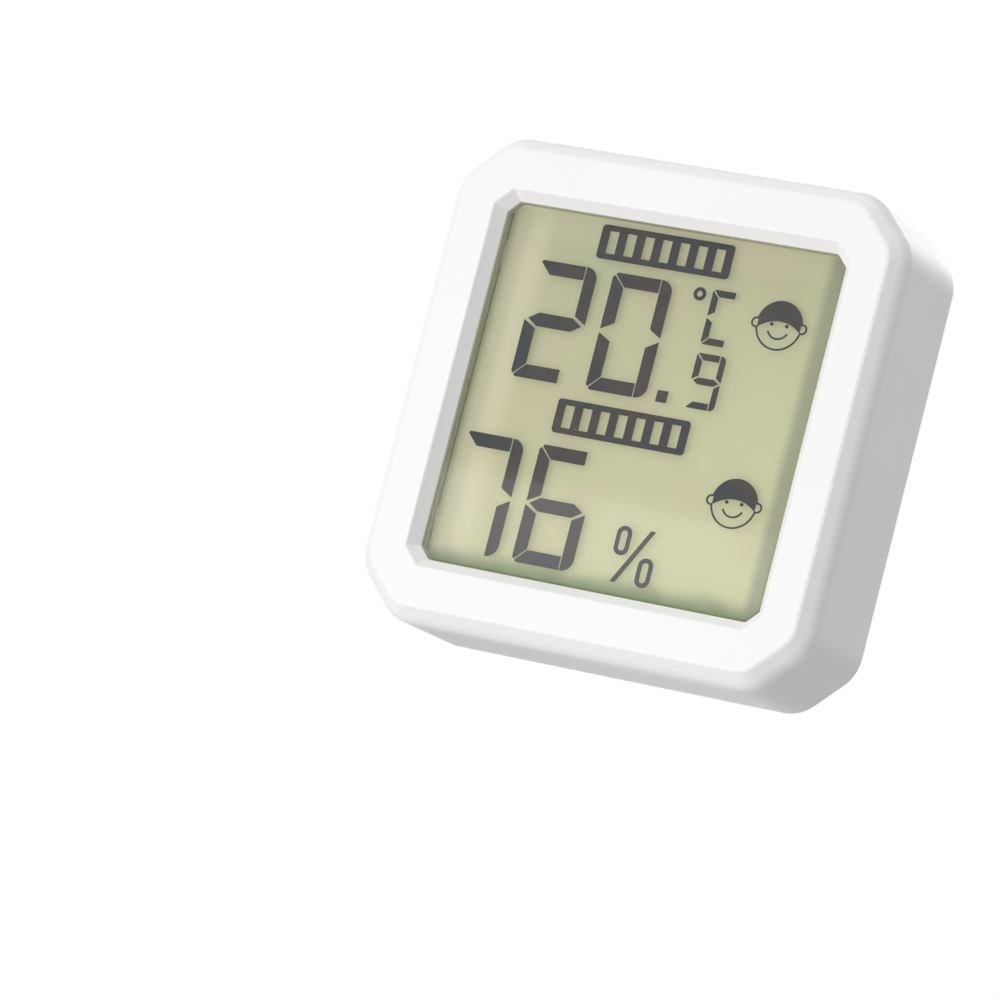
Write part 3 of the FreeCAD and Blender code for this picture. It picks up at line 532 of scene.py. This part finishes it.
@dataclass(frozen=True)
class SegmentInk(Finish):
    """Dark crystal of a lit segment, which has a slightly uneven grey."""

    name: str
    cool: Colour = srgb(52, 55, 62)
    warm: Colour = srgb(66, 61, 58)
    grain_tone: Colour = (0.12, 0.12, 0.1)
    grain_share: float = 0.12

    def write(self, shader: Shader) -> bpy.types.NodeSocket:
        """Grey that drifts between a cool and a warm tone."""
        drift = shader.noise(5 * MM, 2.0)
        grain = shader.noise(0.12 * MM, 2.0)
        tone = shader.blend(drift.ramp(0.35, 0.65), self.cool, self.warm)
        return shader.principled({
            "Base Color": shader.blend(grain * self.grain_share, tone, self.grain_tone),
            "Roughness": 0.6,
            "Specular IOR Level": 0.15,
        }).outputs[0]


@dataclass(frozen=True)
class BoardLaminate(Finish):
    """Green circuit board with copper tracks that show through the solder mask."""

    name: str
    mask: Colour = srgb(22, 84, 48)
    track: Colour = srgb(40, 118, 66)
    weave_tone: Colour = srgb(16, 60, 36)
    track_pitch: float = 1.3 * MM
    track_edge: float = 0.35
    track_rise: float = 0.03 * MM

    def write(self, shader: Shader) -> bpy.types.NodeSocket:
        """Straight tracks in patches of two directions, raised under the mask."""
        x, _, z = shader.axes()
        patch = shader.noise(6 * MM, 0.0) > 0.5
        turn = 2 * math.pi / self.track_pitch
        along_x = (x * turn).wave() > self.track_edge
        along_z = (z * turn).wave() > self.track_edge
        tracks = along_x * patch + along_z * (1 - patch)
        weave = shader.noise(0.3 * MM, 1.0)
        tone = shader.blend(tracks, self.mask, self.track)
        return shader.principled({
            "Base Color": shader.blend(weave * 0.25, tone, self.weave_tone),
            "Roughness": weave * 0.1 + 0.3,
            "Coat Weight": tracks * 0.3,
            "Normal": shader.bump(tracks, self.track_rise),
        }).outputs[0]


@dataclass(frozen=True)
class StripedRubber(Finish):
    """Layered rubber connector, clear sides with a fine line of dark stripes."""

    name: str
    pitch: float = 0.36 * MM
    pale: Colour = srgb(214, 208, 200)
    dark: Colour = srgb(38, 36, 38)

    def write(self, shader: Shader) -> bpy.types.NodeSocket:
        """Dark and pale stripes along X."""
        x, _, _ = shader.axes()
        stripe = (x * (2 * math.pi / self.pitch)).wave() > 0.0
        tone = shader.blend(stripe, self.pale, self.dark)
        return shader.principled({"Base Color": tone, "Roughness": 0.55}).outputs[0]


WHITE = srgb(243, 243, 243)

WHITE_SHELL = MouldedPlastic("white_shell", WHITE)
WHITE_BACK = MouldedPlastic("white_back", WHITE, roughness=0.5, grain_depth=0.012 * MM)
WHITE_STAND = MouldedPlastic("white_stand", WHITE, roughness=0.45)
WHITE_COVER = MouldedPlastic("white_cover", WHITE, roughness=0.48, grain_depth=0.01 * MM)
WHITE_TRAY = MouldedPlastic("white_tray", srgb(228, 228, 224), roughness=0.5)
GREY_BUTTON = MouldedPlastic("grey_button", srgb(188, 190, 191), roughness=0.45)
SIGN_INK = MouldedPlastic("sign_ink", srgb(150, 152, 154), roughness=0.5)
BLACK_TAPE = MouldedPlastic("black_tape", srgb(64, 66, 62), roughness=0.75)
BLACK_RESIN = MouldedPlastic("black_resin", srgb(24, 24, 26), roughness=0.25, tone_change=0.05)
CERAMIC = MouldedPlastic("ceramic_chips", srgb(150, 116, 84), roughness=0.5)
SENSOR_PACKAGE = MouldedPlastic("sensor_package", srgb(46, 46, 48), roughness=0.4)
PROBE_RESIN = MouldedPlastic("probe_resin", srgb(34, 34, 38), roughness=0.3)
SWITCH_BODY = PlatedMetal("switch_body", srgb(176, 178, 180), 0.36)
SWITCH_PLUNGER = MouldedPlastic("switch_plunger", srgb(36, 36, 38), roughness=0.4)
CELL_SEAL = MouldedPlastic("cell_seal", srgb(36, 48, 44), roughness=0.6)
ZINC = PlatedMetal("zinc_screws", srgb(196, 198, 202), 0.34)
SOLDER = PlatedMetal("solder", srgb(196, 198, 200), 0.3)
NICKEL_CAN = PlatedMetal("nickel_can", srgb(206, 204, 198), 0.22)
NICKEL_SPRING = PlatedMetal("nickel_spring", srgb(212, 208, 200), 0.26)
CELL_STEEL = PlatedMetal("cell_steel", srgb(204, 204, 206), 0.24)
# The edge tones below are painted, standing in for the display seen through each sheet's edges.
CLEAR_WINDOW = ClearPlate("clear_window", dust=0.35, painted_edge_tone=srgb(176, 178, 150))
POLARIZER = ClearPlate("polarizer_film", tint=(0.99, 0.99, 0.985), gloss=0.0,
                       painted_edge_tone=srgb(186, 186, 156))
DISPLAY_GLASS = ClearPlate("display_glass", gloss=0.0, painted_edge_tone=srgb(190, 190, 160))
SEGMENTS = SegmentInk("dark_segments")
REFLECTOR = DisplayBack("green_reflector")
LAMINATE = BoardLaminate("board_laminate")
ZEBRA = StripedRubber("zebra_rubber")

NODE_FINISHES: dict[str, Finish] = {
    "front_case": WHITE_SHELL,
    "display_window": CLEAR_WINDOW,
    "window_adhesive": BLACK_TAPE,
    "lcd_front_polarizer": POLARIZER,
    "lcd_front_glass": DISPLAY_GLASS,
    "lcd_segments": SEGMENTS,
    "lcd_rear_glass": DISPLAY_GLASS,
    "lcd_reflector": REFLECTOR,
    "lcd_holder": WHITE_TRAY,
    "zebra_strip": ZEBRA,
    "main_board": LAMINATE,
    "board_screws": ZINC,
    "controller_chip": BLACK_RESIN,
    "board_components": CERAMIC,
    "clock_crystal": NICKEL_CAN,
    "humidity_sensor": SENSOR_PACKAGE,
    "temperature_probe": PROBE_RESIN,
    "unit_switch": SWITCH_BODY,
    "switch_plunger": SWITCH_PLUNGER,
    "unit_button": GREY_BUTTON,
    "battery_contact_negative": NICKEL_SPRING,
    "battery_contact_positive": NICKEL_SPRING,
    "coin_cell_can": CELL_STEEL,
    "coin_cell_seal": CELL_SEAL,
    "coin_cell_cap": CELL_STEEL,
    "battery_cover": WHITE_COVER,
    "back_plate": WHITE_BACK,
    "stand_leg": WHITE_STAND,
    "housing_screws": ZINC,
}


# Camera, lights and floor

@dataclass
class Viewpoint:
    """The camera, placed by its direction from the object's middle."""

    azimuth: float = 27.802
    elevation: float = -6.853
    roll: float = 14.46
    distance: float = 561.433 * MM
    aim_right: float = 13.954 * MM
    aim_up: float = 7.128 * MM
    lens: float = 223.2
    sensor_width: float = 36.0
    nearest: float = 0.01
    farthest: float = 20.0

    def build(self) -> bpy.types.Object:
        """Adds the camera and makes it the scene's.

        Returns:
            The camera object.
        """
        turn, rise, roll = (math.radians(a) for a in (self.azimuth, self.elevation, self.roll))
        back = Vector((math.sin(turn) * math.cos(rise), -math.cos(turn) * math.cos(rise),
                       math.sin(rise)))
        level = Vector((math.cos(turn), math.sin(turn), 0.0))
        upright = level.cross(-back)
        right = math.cos(roll) * level + math.sin(roll) * upright
        up = -math.sin(roll) * level + math.cos(roll) * upright
        data = bpy.data.cameras.new("camera")
        data.lens = self.lens
        data.sensor_width = self.sensor_width
        data.clip_start = self.nearest
        data.clip_end = self.farthest
        camera = bpy.data.objects.new("camera", data)
        bpy.context.scene.collection.objects.link(camera)
        turned = Matrix((right, up, back)).transposed().to_4x4()
        place = MIDDLE - self.aim_right * right - self.aim_up * up + self.distance * back
        camera.matrix_world = Matrix.Translation(place) @ turned
        bpy.context.scene.camera = camera
        return camera


@dataclass
class Softbox:
    """A square area lamp that faces the object."""

    name: str
    direction: tuple[float, float, float]
    power: float
    distance: float = 0.9
    size: float = 0.6

    def build(self) -> bpy.types.Object:
        """Adds the lamp.

        Returns:
            The lamp object.
        """
        data = bpy.data.lights.new(self.name, "AREA")
        data.shape = "SQUARE"
        data.size = self.size
        data.energy = self.power
        lamp = bpy.data.objects.new(self.name, data)
        bpy.context.scene.collection.objects.link(lamp)
        towards = Vector(self.direction).normalized()
        turned = towards.to_track_quat("Z", "Y").to_matrix().to_4x4()
        lamp.matrix_world = Matrix.Translation(MIDDLE + towards * self.distance) @ turned
        return lamp


@dataclass
class Studio:
    """White surroundings, a pale floor that is seen only from above, and soft lamps."""

    ambient: float = 0.472
    floor_size: float = 6.0
    floor_tone: Colour = srgb(236, 236, 236)
    floor_patch: Colour = (0.7, 0.7, 0.7)
    clear_layers: int = 24
    clear_of_light: tuple[str, ...] = ("front_case", "window_adhesive")
    lamps: list[Softbox] = field(default_factory=lambda: [
        Softbox("key_lamp", (-0.5, -0.8, -0.4), 3.1),
        Softbox("front_lamp", (-0.25, -0.93, -0.2), 2.1),
        Softbox("top_lamp", (0.0, -0.35, 1.0), 2.4),
        Softbox("back_lamp", (-0.15, 0.95, 0.22), 2.9),
    ])

    def build(self) -> None:
        """Adds the surroundings, floor, lamps and camera."""
        bpy.context.scene.view_settings.view_transform = "Standard"
        bpy.context.scene.cycles.transparent_max_bounces = self.clear_layers
        self.surroundings()
        self.floor()
        unshadowed = self.unshadowed()
        for lamp in self.lamps:
            lamp.build().light_linking.blocker_collection = unshadowed
        Viewpoint().build()
        log.info("studio: %d lamps, ambient %.2f", len(self.lamps), self.ambient)

    def unshadowed(self) -> bpy.types.Collection:
        """The frame round the display, excluded from blocking the lamps' light for the looks.

        Returns:
            A collection for the lamps, in which the frame casts no shadow.
        """
        kept = bpy.data.collections.new("no_shadow_on_display")
        for name in self.clear_of_light:
            kept.objects.link(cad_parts[name])
        for entry in kept.collection_objects:
            entry.light_linking.link_state = "EXCLUDE"
        return kept

    @staticmethod
    def seen(shader: Shader) -> Signal:
        """One for rays that show the surroundings: direct, mirrored or through clear sheets.

        Args:
            shader: The shader that is being written.

        Returns:
            The share.
        """
        path = shader.node("ShaderNodeLightPath")
        direct, glossy, through = (Signal(shader, path.outputs[name]) for name in (
            "Is Camera Ray", "Is Glossy Ray", "Is Transmission Ray"))
        return direct.most(glossy).most(through)

    def surroundings(self) -> None:
        """A white background for the camera and a plain soft light for the object."""
        world = bpy.data.worlds.new("studio_world")
        bpy.context.scene.world = world
        world.use_nodes = True
        shader = Shader(world.node_tree)
        strength = self.seen(shader) * (1.0 - self.ambient) + self.ambient
        background = shader.node("ShaderNodeBackground", None,
                                 {"Color": (1.0, 1.0, 1.0), "Strength": strength})
        shader.node("ShaderNodeOutputWorld", None, {"Surface": background.outputs[0]})

    def floor(self) -> bpy.types.Object:
        """A pale floor that is clear from below and to the light, and keeps the shadow.

        Returns:
            The floor object.
        """
        deselect_all()
        bpy.ops.mesh.primitive_plane_add(size=self.floor_size, location=(0.0, 0.0, CAD_LOW.z))
        plane = bpy.context.active_object
        plane.name = "floor"
        material = bpy.data.materials.new("pale_floor")
        material.use_nodes = True
        shader = Shader(material.node_tree)
        tone = shader.noise(0.4, 2.0)
        matt = shader.node("ShaderNodeBsdfDiffuse", None, {
            "Color": shader.blend(tone * 0.06, self.floor_tone, self.floor_patch)}).outputs[0]
        clear = shader.node("ShaderNodeBsdfTransparent").outputs[0]
        under = shader.value("ShaderNodeNewGeometry", None, None, "Backfacing")
        shown = self.seen(shader) * (1 - under)
        shader.finish(shader.node("ShaderNodeMixShader", None,
                                  {0: shown, 1: clear, 2: matt}).outputs[0])
        plane.data.materials.append(material)
        return plane


# Modelling helpers

def deselect_all() -> None:
    if bpy.context.object is not None and bpy.context.object.mode != "OBJECT":
        bpy.ops.object.mode_set(mode="OBJECT")
    bpy.ops.object.select_all(action="DESELECT")


class Pick(Enum):
    """What an edit-mode selection is made of."""

    EDGES = "EDGE"
    FACES = "FACE"


class Workpiece:
    """A new piece that is shaped from a blank with edit-mode operators."""

    def __init__(self, piece: bpy.types.Object, name: str) -> None:
        """Takes an object and names it.

        Args:
            piece: The object.
            name: The piece's name.
        """
        self.piece = piece
        piece.name = name

    @classmethod
    def latest(cls, name: str) -> "Workpiece":
        """The blank that was added last, with its place put into its mesh."""
        bpy.ops.object.transform_apply(location=True, rotation=True, scale=True)
        return cls(bpy.context.active_object, name)

    @classmethod
    def block(cls, name: str, low: Vector, high: Vector) -> "Workpiece":
        """A box-shaped blank.

        Args:
            name: The piece's name.
            low: Its lowest corner.
            high: Its highest corner.

        Returns:
            The blank.
        """
        deselect_all()
        bpy.ops.mesh.primitive_cube_add(size=1.0, location=(low + high) / 2, scale=high - low)
        return cls.latest(name)

    @classmethod
    def cross(cls, name: str, middle: Vector, size: float, bar: float,
              rise: float) -> "Workpiece":
        """A raised plus sign, whose four arms are extruded from one block.

        Args:
            name: The piece's name.
            middle: Its middle, on the surface that carries it.
            size: Length of its bars.
            bar: Width of its bars.
            rise: Height over the surface, and depth below it.

        Returns:
            The sign.
        """
        half_bar = bar / 2
        corner = Vector((half_bar, rise, half_bar))
        sign = cls.block(name, middle - corner, middle + corner)
        for step in (ACROSS, -ACROSS, UPWARDS, -UPWARDS):
            sign.pick(Pick.FACES, lambda place, normal:
                      (place - middle - step * half_bar).length < half_bar * 0.4)
            sign.extrude(step * (size / 2 - half_bar))
        sign.back_edges()
        sign.bevel(rise * 0.4)
        return sign

    @classmethod
    def disc(cls, name: str, centre: Vector, radius: float, length: float,
             tip_radius: float | None = None, sides: int = 32) -> "Workpiece":
        """A round or tapered blank along Y.

        Args:
            name: The piece's name.
            centre: Its middle.
            radius: Radius of its front end.
            length: Length along Y.
            tip_radius: Radius of its back end, the same as the front end's if left out.
            sides: Number of sides.

        Returns:
            The blank.
        """
        deselect_all()
        bpy.ops.mesh.primitive_cone_add(
            vertices=sides, radius1=radius, radius2=radius if tip_radius is None else tip_radius,
            depth=length, location=centre, rotation=(-math.pi / 2, 0.0, 0.0))
        return cls.latest(name)

    def edit(self) -> None:
        """Opens the piece in edit mode, with nothing selected."""
        if self.piece.mode != "EDIT":
            deselect_all()
            bpy.context.view_layer.objects.active = self.piece
            self.piece.select_set(True)
            bpy.ops.object.mode_set(mode="EDIT")
        bpy.ops.mesh.select_all(action="DESELECT")

    def pick(self, kind: Pick, test: Callable[[Vector, Vector], bool]) -> None:
        """Selects edges or faces by their place and direction.

        Args:
            kind: What is selected.
            test: Takes the middle and the direction, which is a face's normal or an edge's run,
                and says whether the element is selected.
        """
        self.edit()
        bpy.ops.mesh.select_mode(type=kind.value)
        mesh = bmesh.from_edit_mesh(self.piece.data)
        mesh.normal_update()
        if kind is Pick.FACES:
            for face in mesh.faces:
                face.select_set(test(face.calc_center_median(), face.normal))
        else:
            for edge in mesh.edges:
                start, end = (vert.co for vert in edge.verts)
                edge.select_set(test((start + end) / 2, (end - start).normalized()))
        mesh.select_flush_mode()
        bmesh.update_edit_mesh(self.piece.data)

    def back_edges(self) -> None:
        """Selects the edges round the face that looks backwards."""
        level = max(vert.co.y for vert in self.piece.data.vertices)
        self.pick(Pick.EDGES, lambda middle, run:
                  abs(middle.y - level) < SAME_LEVEL and abs(run.y) < 0.5)

    def extrude(self, step: Vector) -> None:
        """Extrudes what is selected by a step."""
        bpy.ops.mesh.extrude_region_move(TRANSFORM_OT_translate={"value": step})

    def bevel(self, width: float, segments: int = 2) -> None:
        """Rounds the selected edges."""
        bpy.ops.mesh.bevel(offset=width, segments=segments, affect="EDGES", profile=0.5)

    def copy(self, name: str, placed: Matrix) -> "Workpiece":
        """A copy with its own mesh, moved by a matrix.

        Args:
            name: The copy's name.
            placed: Where the copy goes.

        Returns:
            The copy.
        """
        if self.piece.mode != "OBJECT":
            bpy.ops.object.mode_set(mode="OBJECT")
        twin = self.piece.copy()
        twin.data = self.piece.data.copy()
        twin.data.transform(placed)
        bpy.context.scene.collection.objects.link(twin)
        return Workpiece(twin, name)

    def join(self, others: Sequence["Workpiece"]) -> None:
        """Takes other pieces into this one's mesh."""
        deselect_all()
        for other in others:
            other.piece.select_set(True)
        self.piece.select_set(True)
        bpy.context.view_layer.objects.active = self.piece
        bpy.ops.object.join()

    def done(self, part: Part, finish: Finish, slot: str, angle: float = 35.0) -> None:
        """Closes the piece: normals, smoothing, finish and body.

        Args:
            part: The body that it rides on.
            finish: Its finish.
            slot: The record's material slot that it stands for. It is not used.
            angle: Edges sharper than this many degrees stay sharp.
        """
        self.edit()
        bpy.ops.mesh.select_all(action="SELECT")
        bpy.ops.mesh.remove_doubles(threshold=SAME_LEVEL)
        bpy.ops.mesh.normals_make_consistent(inside=False)
        bpy.ops.object.mode_set(mode="OBJECT")
        bpy.ops.object.shade_smooth_by_angle(angle=math.radians(angle))
        self.piece.data.materials.clear()
        self.piece.data.materials.append(finish.material())
        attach(self.piece, part.value)
        log.info("piece %s: %d faces on %s", self.piece.name, len(self.piece.data.polygons),
                 part.value)


# New pieces

@dataclass
class StandGrip:
    """Three rounded ridges on the foot of the stand, where a finger pulls it out."""

    count: int = 3
    length: float = 13.0 * MM
    width: float = 0.36 * MM
    proud: float = 0.14 * MM
    pitch: float = 0.62 * MM
    first_rise: float = 0.85 * MM
    round_share: float = 0.36

    def build(self) -> None:
        """Models one ridge and copies it up the foot."""
        low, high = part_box("stand_leg")
        z = low.z + self.first_rise
        middle = Vector((0.0, high.y, z))
        corner = Vector((self.length / 2, self.proud, self.width / 2))
        ridge = Workpiece.block("stand_grip_ridge_1", middle - corner, middle + corner)
        ridge.back_edges()
        ridge.bevel(self.width * self.round_share, 3)
        copies = [ridge.copy("stand_grip_ridge_%d" % (index + 1),
                             Matrix.Translation((0.0, 0.0, index * self.pitch)))
                  for index in range(1, self.count)]
        for piece in [ridge] + copies:
            piece.done(Part.STAND, WHITE_STAND, "white_stand")


@dataclass
class CoverSigns:
    """Raised signs on and beside the battery cover: turn arrows, a plus sign and two stops."""

    rise: float = 0.1 * MM
    head_rise: float = 0.15 * MM
    arrow_radius: float = 9.2 * MM
    arrow_width: float = 0.6 * MM
    arrow_start: float = 74.0
    arrow_sweep: float = 36.0
    arrow_steps: int = 14
    head_lead: float = 3.0
    head_size: float = 0.95 * MM
    stop_clearance: float = 0.66 * MM
    stop_size: float = 0.4 * MM
    stop_sides: int = 28
    shut_angle: float = 90.0
    open_angle: float = 45.0
    plus_radius: float = 9.1 * MM
    plus_angle: float = 270.0
    plus_size: float = 1.9 * MM
    plus_bar: float = 0.42 * MM

    def build(self) -> None:
        """Builds each sign at the cover's own centre."""
        low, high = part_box("battery_cover")
        self.centre = Vector(((low.x + high.x) / 2, high.y, (low.z + high.z) / 2))
        self.stop_radius = (high.x - low.x) / 2 + self.stop_clearance
        plate_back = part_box("back_plate")[1].y
        for number, turned in enumerate((0.0, math.pi), start=1):
            self.arrow(number, turned)
        self.plus()
        self.closed_stop(plate_back)
        self.open_stop(plate_back)

    def spot(self, radius: float, angle: float, y: float) -> Vector:
        """A place round the cover's middle.

        Args:
            radius: How far from the middle.
            angle: Degrees from +X towards +Z.
            y: Its level.

        Returns:
            The place.
        """
        turn = math.radians(angle)
        return Vector((self.centre.x + radius * math.cos(turn), y,
                       self.centre.z + radius * math.sin(turn)))

    def arrow(self, number: int, turned: float) -> None:
        """A curved raised arrow, spun from a small square and ended with a head.

        Args:
            number: Number of the arrow.
            turned: How far it is turned round the cover, in radians.
        """
        start = self.spot(self.arrow_radius, self.arrow_start, self.centre.y)
        start_turn = math.radians(self.arrow_start)
        corner = Vector((self.arrow_width / 2, self.rise, self.arrow_width / 2))
        shaft = Workpiece.block("cover_arrow_%d" % number, start - corner, start + corner)
        shaft.piece.data.transform(turned_round(start, -start_turn))
        end_run = Vector((-math.sin(start_turn), 0.0, math.cos(start_turn)))
        shaft.pick(Pick.FACES, lambda middle, normal: normal.dot(end_run) < -0.9)
        bpy.ops.mesh.spin(steps=self.arrow_steps, angle=-math.radians(self.arrow_sweep),
                          center=self.centre, axis=(0.0, 1.0, 0.0), dupli=False,
                          use_auto_merge=False)
        head_angle = self.arrow_start - self.arrow_sweep - self.head_lead
        tip = self.spot(self.arrow_radius, head_angle, self.centre.y)
        head = Workpiece.disc("cover_arrow_head_%d" % number, tip, self.head_size,
                              2 * self.head_rise, sides=3)
        head.piece.data.transform(turned_round(tip, math.pi - math.radians(head_angle)))
        head.back_edges()
        head.bevel(self.rise * 0.4)
        shaft.join([head])
        shaft.piece.data.transform(turned_round(self.centre, turned))
        shaft.done(Part.COVER, WHITE_COVER, "white_cover")

    def plus(self) -> None:
        """The plus sign that tells which side of the cell faces the cover."""
        middle = self.spot(self.plus_radius, self.plus_angle, self.centre.y)
        sign = Workpiece.cross("cover_plus", middle, self.plus_size, self.plus_bar, self.rise)
        sign.done(Part.COVER, WHITE_COVER, "white_cover")

    def closed_stop(self, level: float) -> None:
        """A raised dot over the cover's rim, where the cover's own dot stands when it is shut.

        Args:
            level: Level of the back plate's face.
        """
        place = self.spot(self.stop_radius, self.shut_angle, level)
        stop = Workpiece.disc("cover_stop_closed", place, self.stop_size, 2 * self.rise,
                              sides=self.stop_sides)
        stop.back_edges()
        stop.bevel(self.rise * 0.5)
        stop.done(Part.HOUSING, WHITE_BACK, "white_back")

    def open_stop(self, level: float) -> None:
        """A raised ring where the cover's dot stands when it is open.

        Args:
            level: Level of the back plate's face.
        """
        place = self.spot(self.stop_radius, self.open_angle, level)
        ring = Workpiece.disc("cover_stop_open", place, self.stop_size, 2 * self.rise,
                              sides=self.stop_sides)
        ring.pick(Pick.FACES, lambda middle, normal: normal.y > 0.9)
        bpy.ops.mesh.inset(thickness=self.stop_size * 0.42, depth=0.0)
        ring.pick(Pick.FACES, lambda middle, normal: normal.y > 0.9
                  and (middle - place).xz.length < SAME_PLACE)
        ring.extrude(Vector((0.0, -1.4 * self.rise, 0.0)))
        ring.done(Part.HOUSING, WHITE_BACK, "white_back")


@dataclass
class UnitSign:
    """Raised unit signs under the unit button."""

    text: str = "\u00b0C/\u00b0F"
    height: float = 1.9 * MM
    rise: float = 0.1 * MM
    drop: float = 3.6 * MM

    def build(self) -> None:
        """Sets the signs as text, makes a mesh of them and lays it on the back plate."""
        low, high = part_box("unit_button")
        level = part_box("back_plate")[1].y
        deselect_all()
        bpy.ops.object.text_add()
        writing = bpy.context.active_object
        writing.data.body = self.text
        writing.data.size = self.height
        writing.data.extrude = self.rise
        writing.data.bevel_depth = self.rise * 0.25
        writing.data.resolution_u = 4
        writing.data.align_x = "CENTER"
        writing.data.align_y = "CENTER"
        bpy.ops.object.convert(target="MESH")
        writing.rotation_euler = (math.pi / 2, 0.0, math.pi)
        writing.location = ((low.x + high.x) / 2, level, (low.z + high.z) / 2 - self.drop)
        Workpiece.latest("unit_sign").done(Part.HOUSING, SIGN_INK, "white_back")


@dataclass
class CellMarks:
    """Pressed plus sign and rim ring on the side of the coin cell that faces the cover."""

    rise: float = 0.05 * MM
    plus_size: float = 3.4 * MM
    plus_bar: float = 0.7 * MM
    ring_radius: float = 8.6 * MM
    ring_width: float = 0.35 * MM
    ring_sides: int = 96

    def build(self) -> None:
        """Builds both from the can's own box."""
        low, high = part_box("coin_cell_can")
        self.centre = Vector(((low.x + high.x) / 2, high.y, (low.z + high.z) / 2))
        self.plus()
        self.ring()

    def plus(self) -> None:
        """A low cross in the middle of the can."""
        sign = Workpiece.cross("cell_plus", self.centre, self.plus_size, self.plus_bar, self.rise)
        sign.done(Part.HOUSING, CELL_STEEL, "cell_steel")

    def ring(self) -> None:
        """A low ring near the can's edge, from a disc whose middle is taken out."""
        ring = Workpiece.disc("cell_ring", self.centre, self.ring_radius, 2 * self.rise,
                              sides=self.ring_sides)
        ring.pick(Pick.FACES, lambda middle, normal: abs(normal.y) > 0.9)
        bpy.ops.mesh.inset(thickness=self.ring_width, depth=0.0)
        ring.pick(Pick.FACES, lambda middle, normal: abs(normal.y) > 0.9
                  and (middle - self.centre).xz.length < SAME_PLACE)
        bpy.ops.mesh.bridge_edge_loops()
        ring.back_edges()
        ring.bevel(self.rise * 0.4, 1)
        ring.done(Part.HOUSING, CELL_STEEL, "cell_steel")


@dataclass
class BoardJoints:
    """Solder on the leads and tinned ends on the ceramic chips."""

    joint_radius: float = 0.5 * MM
    joint_tip: float = 0.24 * MM
    joint_height: float = 0.32 * MM
    joint_sides: int = 20
    lead_radius: float = 0.2 * MM
    crystal_spread: float = 0.5 * MM
    probe_spread: float = 0.6 * MM
    switch_spread: float = 0.9 * MM
    foot_inset: float = 0.6 * MM
    cap_length: float = 0.34 * MM
    cap_proud: float = 0.02 * MM
    cap_round: float = 0.06 * MM
    chip_size: tuple[float, float, float] = (1.6 * MM, 0.6 * MM, 0.8 * MM)
    column_x: float = 11.8 * MM
    column_top: float = 33.2 * MM
    column_pitch: float = 1.7 * MM
    column_count: int = 3
    row_x: float = 10.6 * MM
    row_z: float = 5.0 * MM
    row_pitch: float = 2.4 * MM
    row_count: int = 4

    def build(self) -> None:
        """Builds the solder and the chips' ends on the back of the board."""
        self.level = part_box("main_board")[1].y
        self.solder()
        self.chip_ends()

    def lead_places(self) -> list[tuple[float, float]]:
        """Where a lead or a leg meets the board.

        Returns:
            The x and z of each place.
        """
        crystal_low, crystal_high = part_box("clock_crystal")
        probe_low, probe_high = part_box("temperature_probe")
        switch_low, switch_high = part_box("unit_switch")
        foot_low, foot_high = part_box("battery_contact_positive")
        crystal_z = (crystal_low.z + crystal_high.z) / 2
        probe = (probe_low + probe_high) / 2
        switch_z = (switch_low.z + switch_high.z) / 2
        foot_x = foot_high.x - self.foot_inset
        sides = (-1, 1)
        places = [(crystal_high.x - self.lead_radius, crystal_z + side * self.crystal_spread)
                  for side in sides]
        places += [(probe.x + side * self.probe_spread, probe.z) for side in sides]
        places += [(x, switch_z + side * self.switch_spread) for side in sides
                   for x in (switch_low.x, switch_high.x)]
        places += [(foot_x, foot_low.z), (foot_x, foot_high.z)]
        return places

    def solder(self) -> None:
        """Models one flared joint and copies it to every lead."""
        places = self.lead_places()
        first = Vector((places[0][0], self.level + self.joint_height / 2, places[0][1]))
        joint = Workpiece.disc("solder_joints", first, self.joint_radius, self.joint_height,
                               self.joint_tip, self.joint_sides)
        joint.pick(Pick.FACES, lambda middle, normal: normal.y > 0.9)
        bpy.ops.mesh.inset(thickness=self.joint_tip * 0.5, depth=self.joint_height * 0.25)
        joint.back_edges()
        joint.bevel(self.joint_tip * 0.3)
        copies = [joint.copy("solder_joint", Matrix.Translation(
            (x - places[0][0], 0.0, z - places[0][1]))) for x, z in places[1:]]
        joint.join(copies)
        joint.done(Part.HOUSING, SOLDER, "nickel_can")

    def chip_ends(self) -> None:
        """Models one tinned end and copies it to both ends of every chip."""
        chips = [(self.column_x, self.column_top - index * self.column_pitch)
                 for index in range(self.column_count)]
        chips += [(self.row_x - index * self.row_pitch, self.row_z)
                  for index in range(self.row_count)]
        length, height, width = self.chip_size
        grow = self.cap_proud
        middle = Vector((chips[0][0], self.level, chips[0][1]))
        low = middle + Vector((length / 2 - self.cap_length, 0.0, -width / 2 - grow))
        high = middle + Vector((length / 2 + grow, height + grow, width / 2 + grow))
        cap = Workpiece.block("chip_ends", low, high)
        cap.pick(Pick.EDGES, lambda place, run: place.y > self.level + height / 3
                 or place.x > middle.x + length / 2)
        cap.bevel(self.cap_round)
        half_turn = turned_round(middle, math.pi)
        copies = []
        for x, z in chips:
            shift = Matrix.Translation((x - middle.x, 0.0, z - middle.z))
            if (x, z) != chips[0]:
                copies.append(cap.copy("chip_end", shift))
            copies.append(cap.copy("chip_end", shift @ half_turn))
        cap.join(copies)
        cap.done(Part.HOUSING, SOLDER, "nickel_can")


def dress_nodes() -> None:
    """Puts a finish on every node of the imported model."""
    for name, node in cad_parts.items():
        material = NODE_FINISHES[name].material()
        if node.data.materials:
            for index in range(len(node.data.materials)):
                node.data.materials[index] = material
        else:
            node.data.materials.append(material)
        log.info("node %s: %s", name, material.name)
    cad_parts["lcd_segments"].visible_shadow = False


def main() -> None:
    """Builds everything in order."""
    logging.basicConfig(level=logging.INFO, format="%(message)s")
    dress_nodes()
    for group in (StandGrip(), CoverSigns(), UnitSign(), CellMarks(), BoardJoints()):
        group.build()
    Studio().build()


if __name__ == "__main__":
    main()
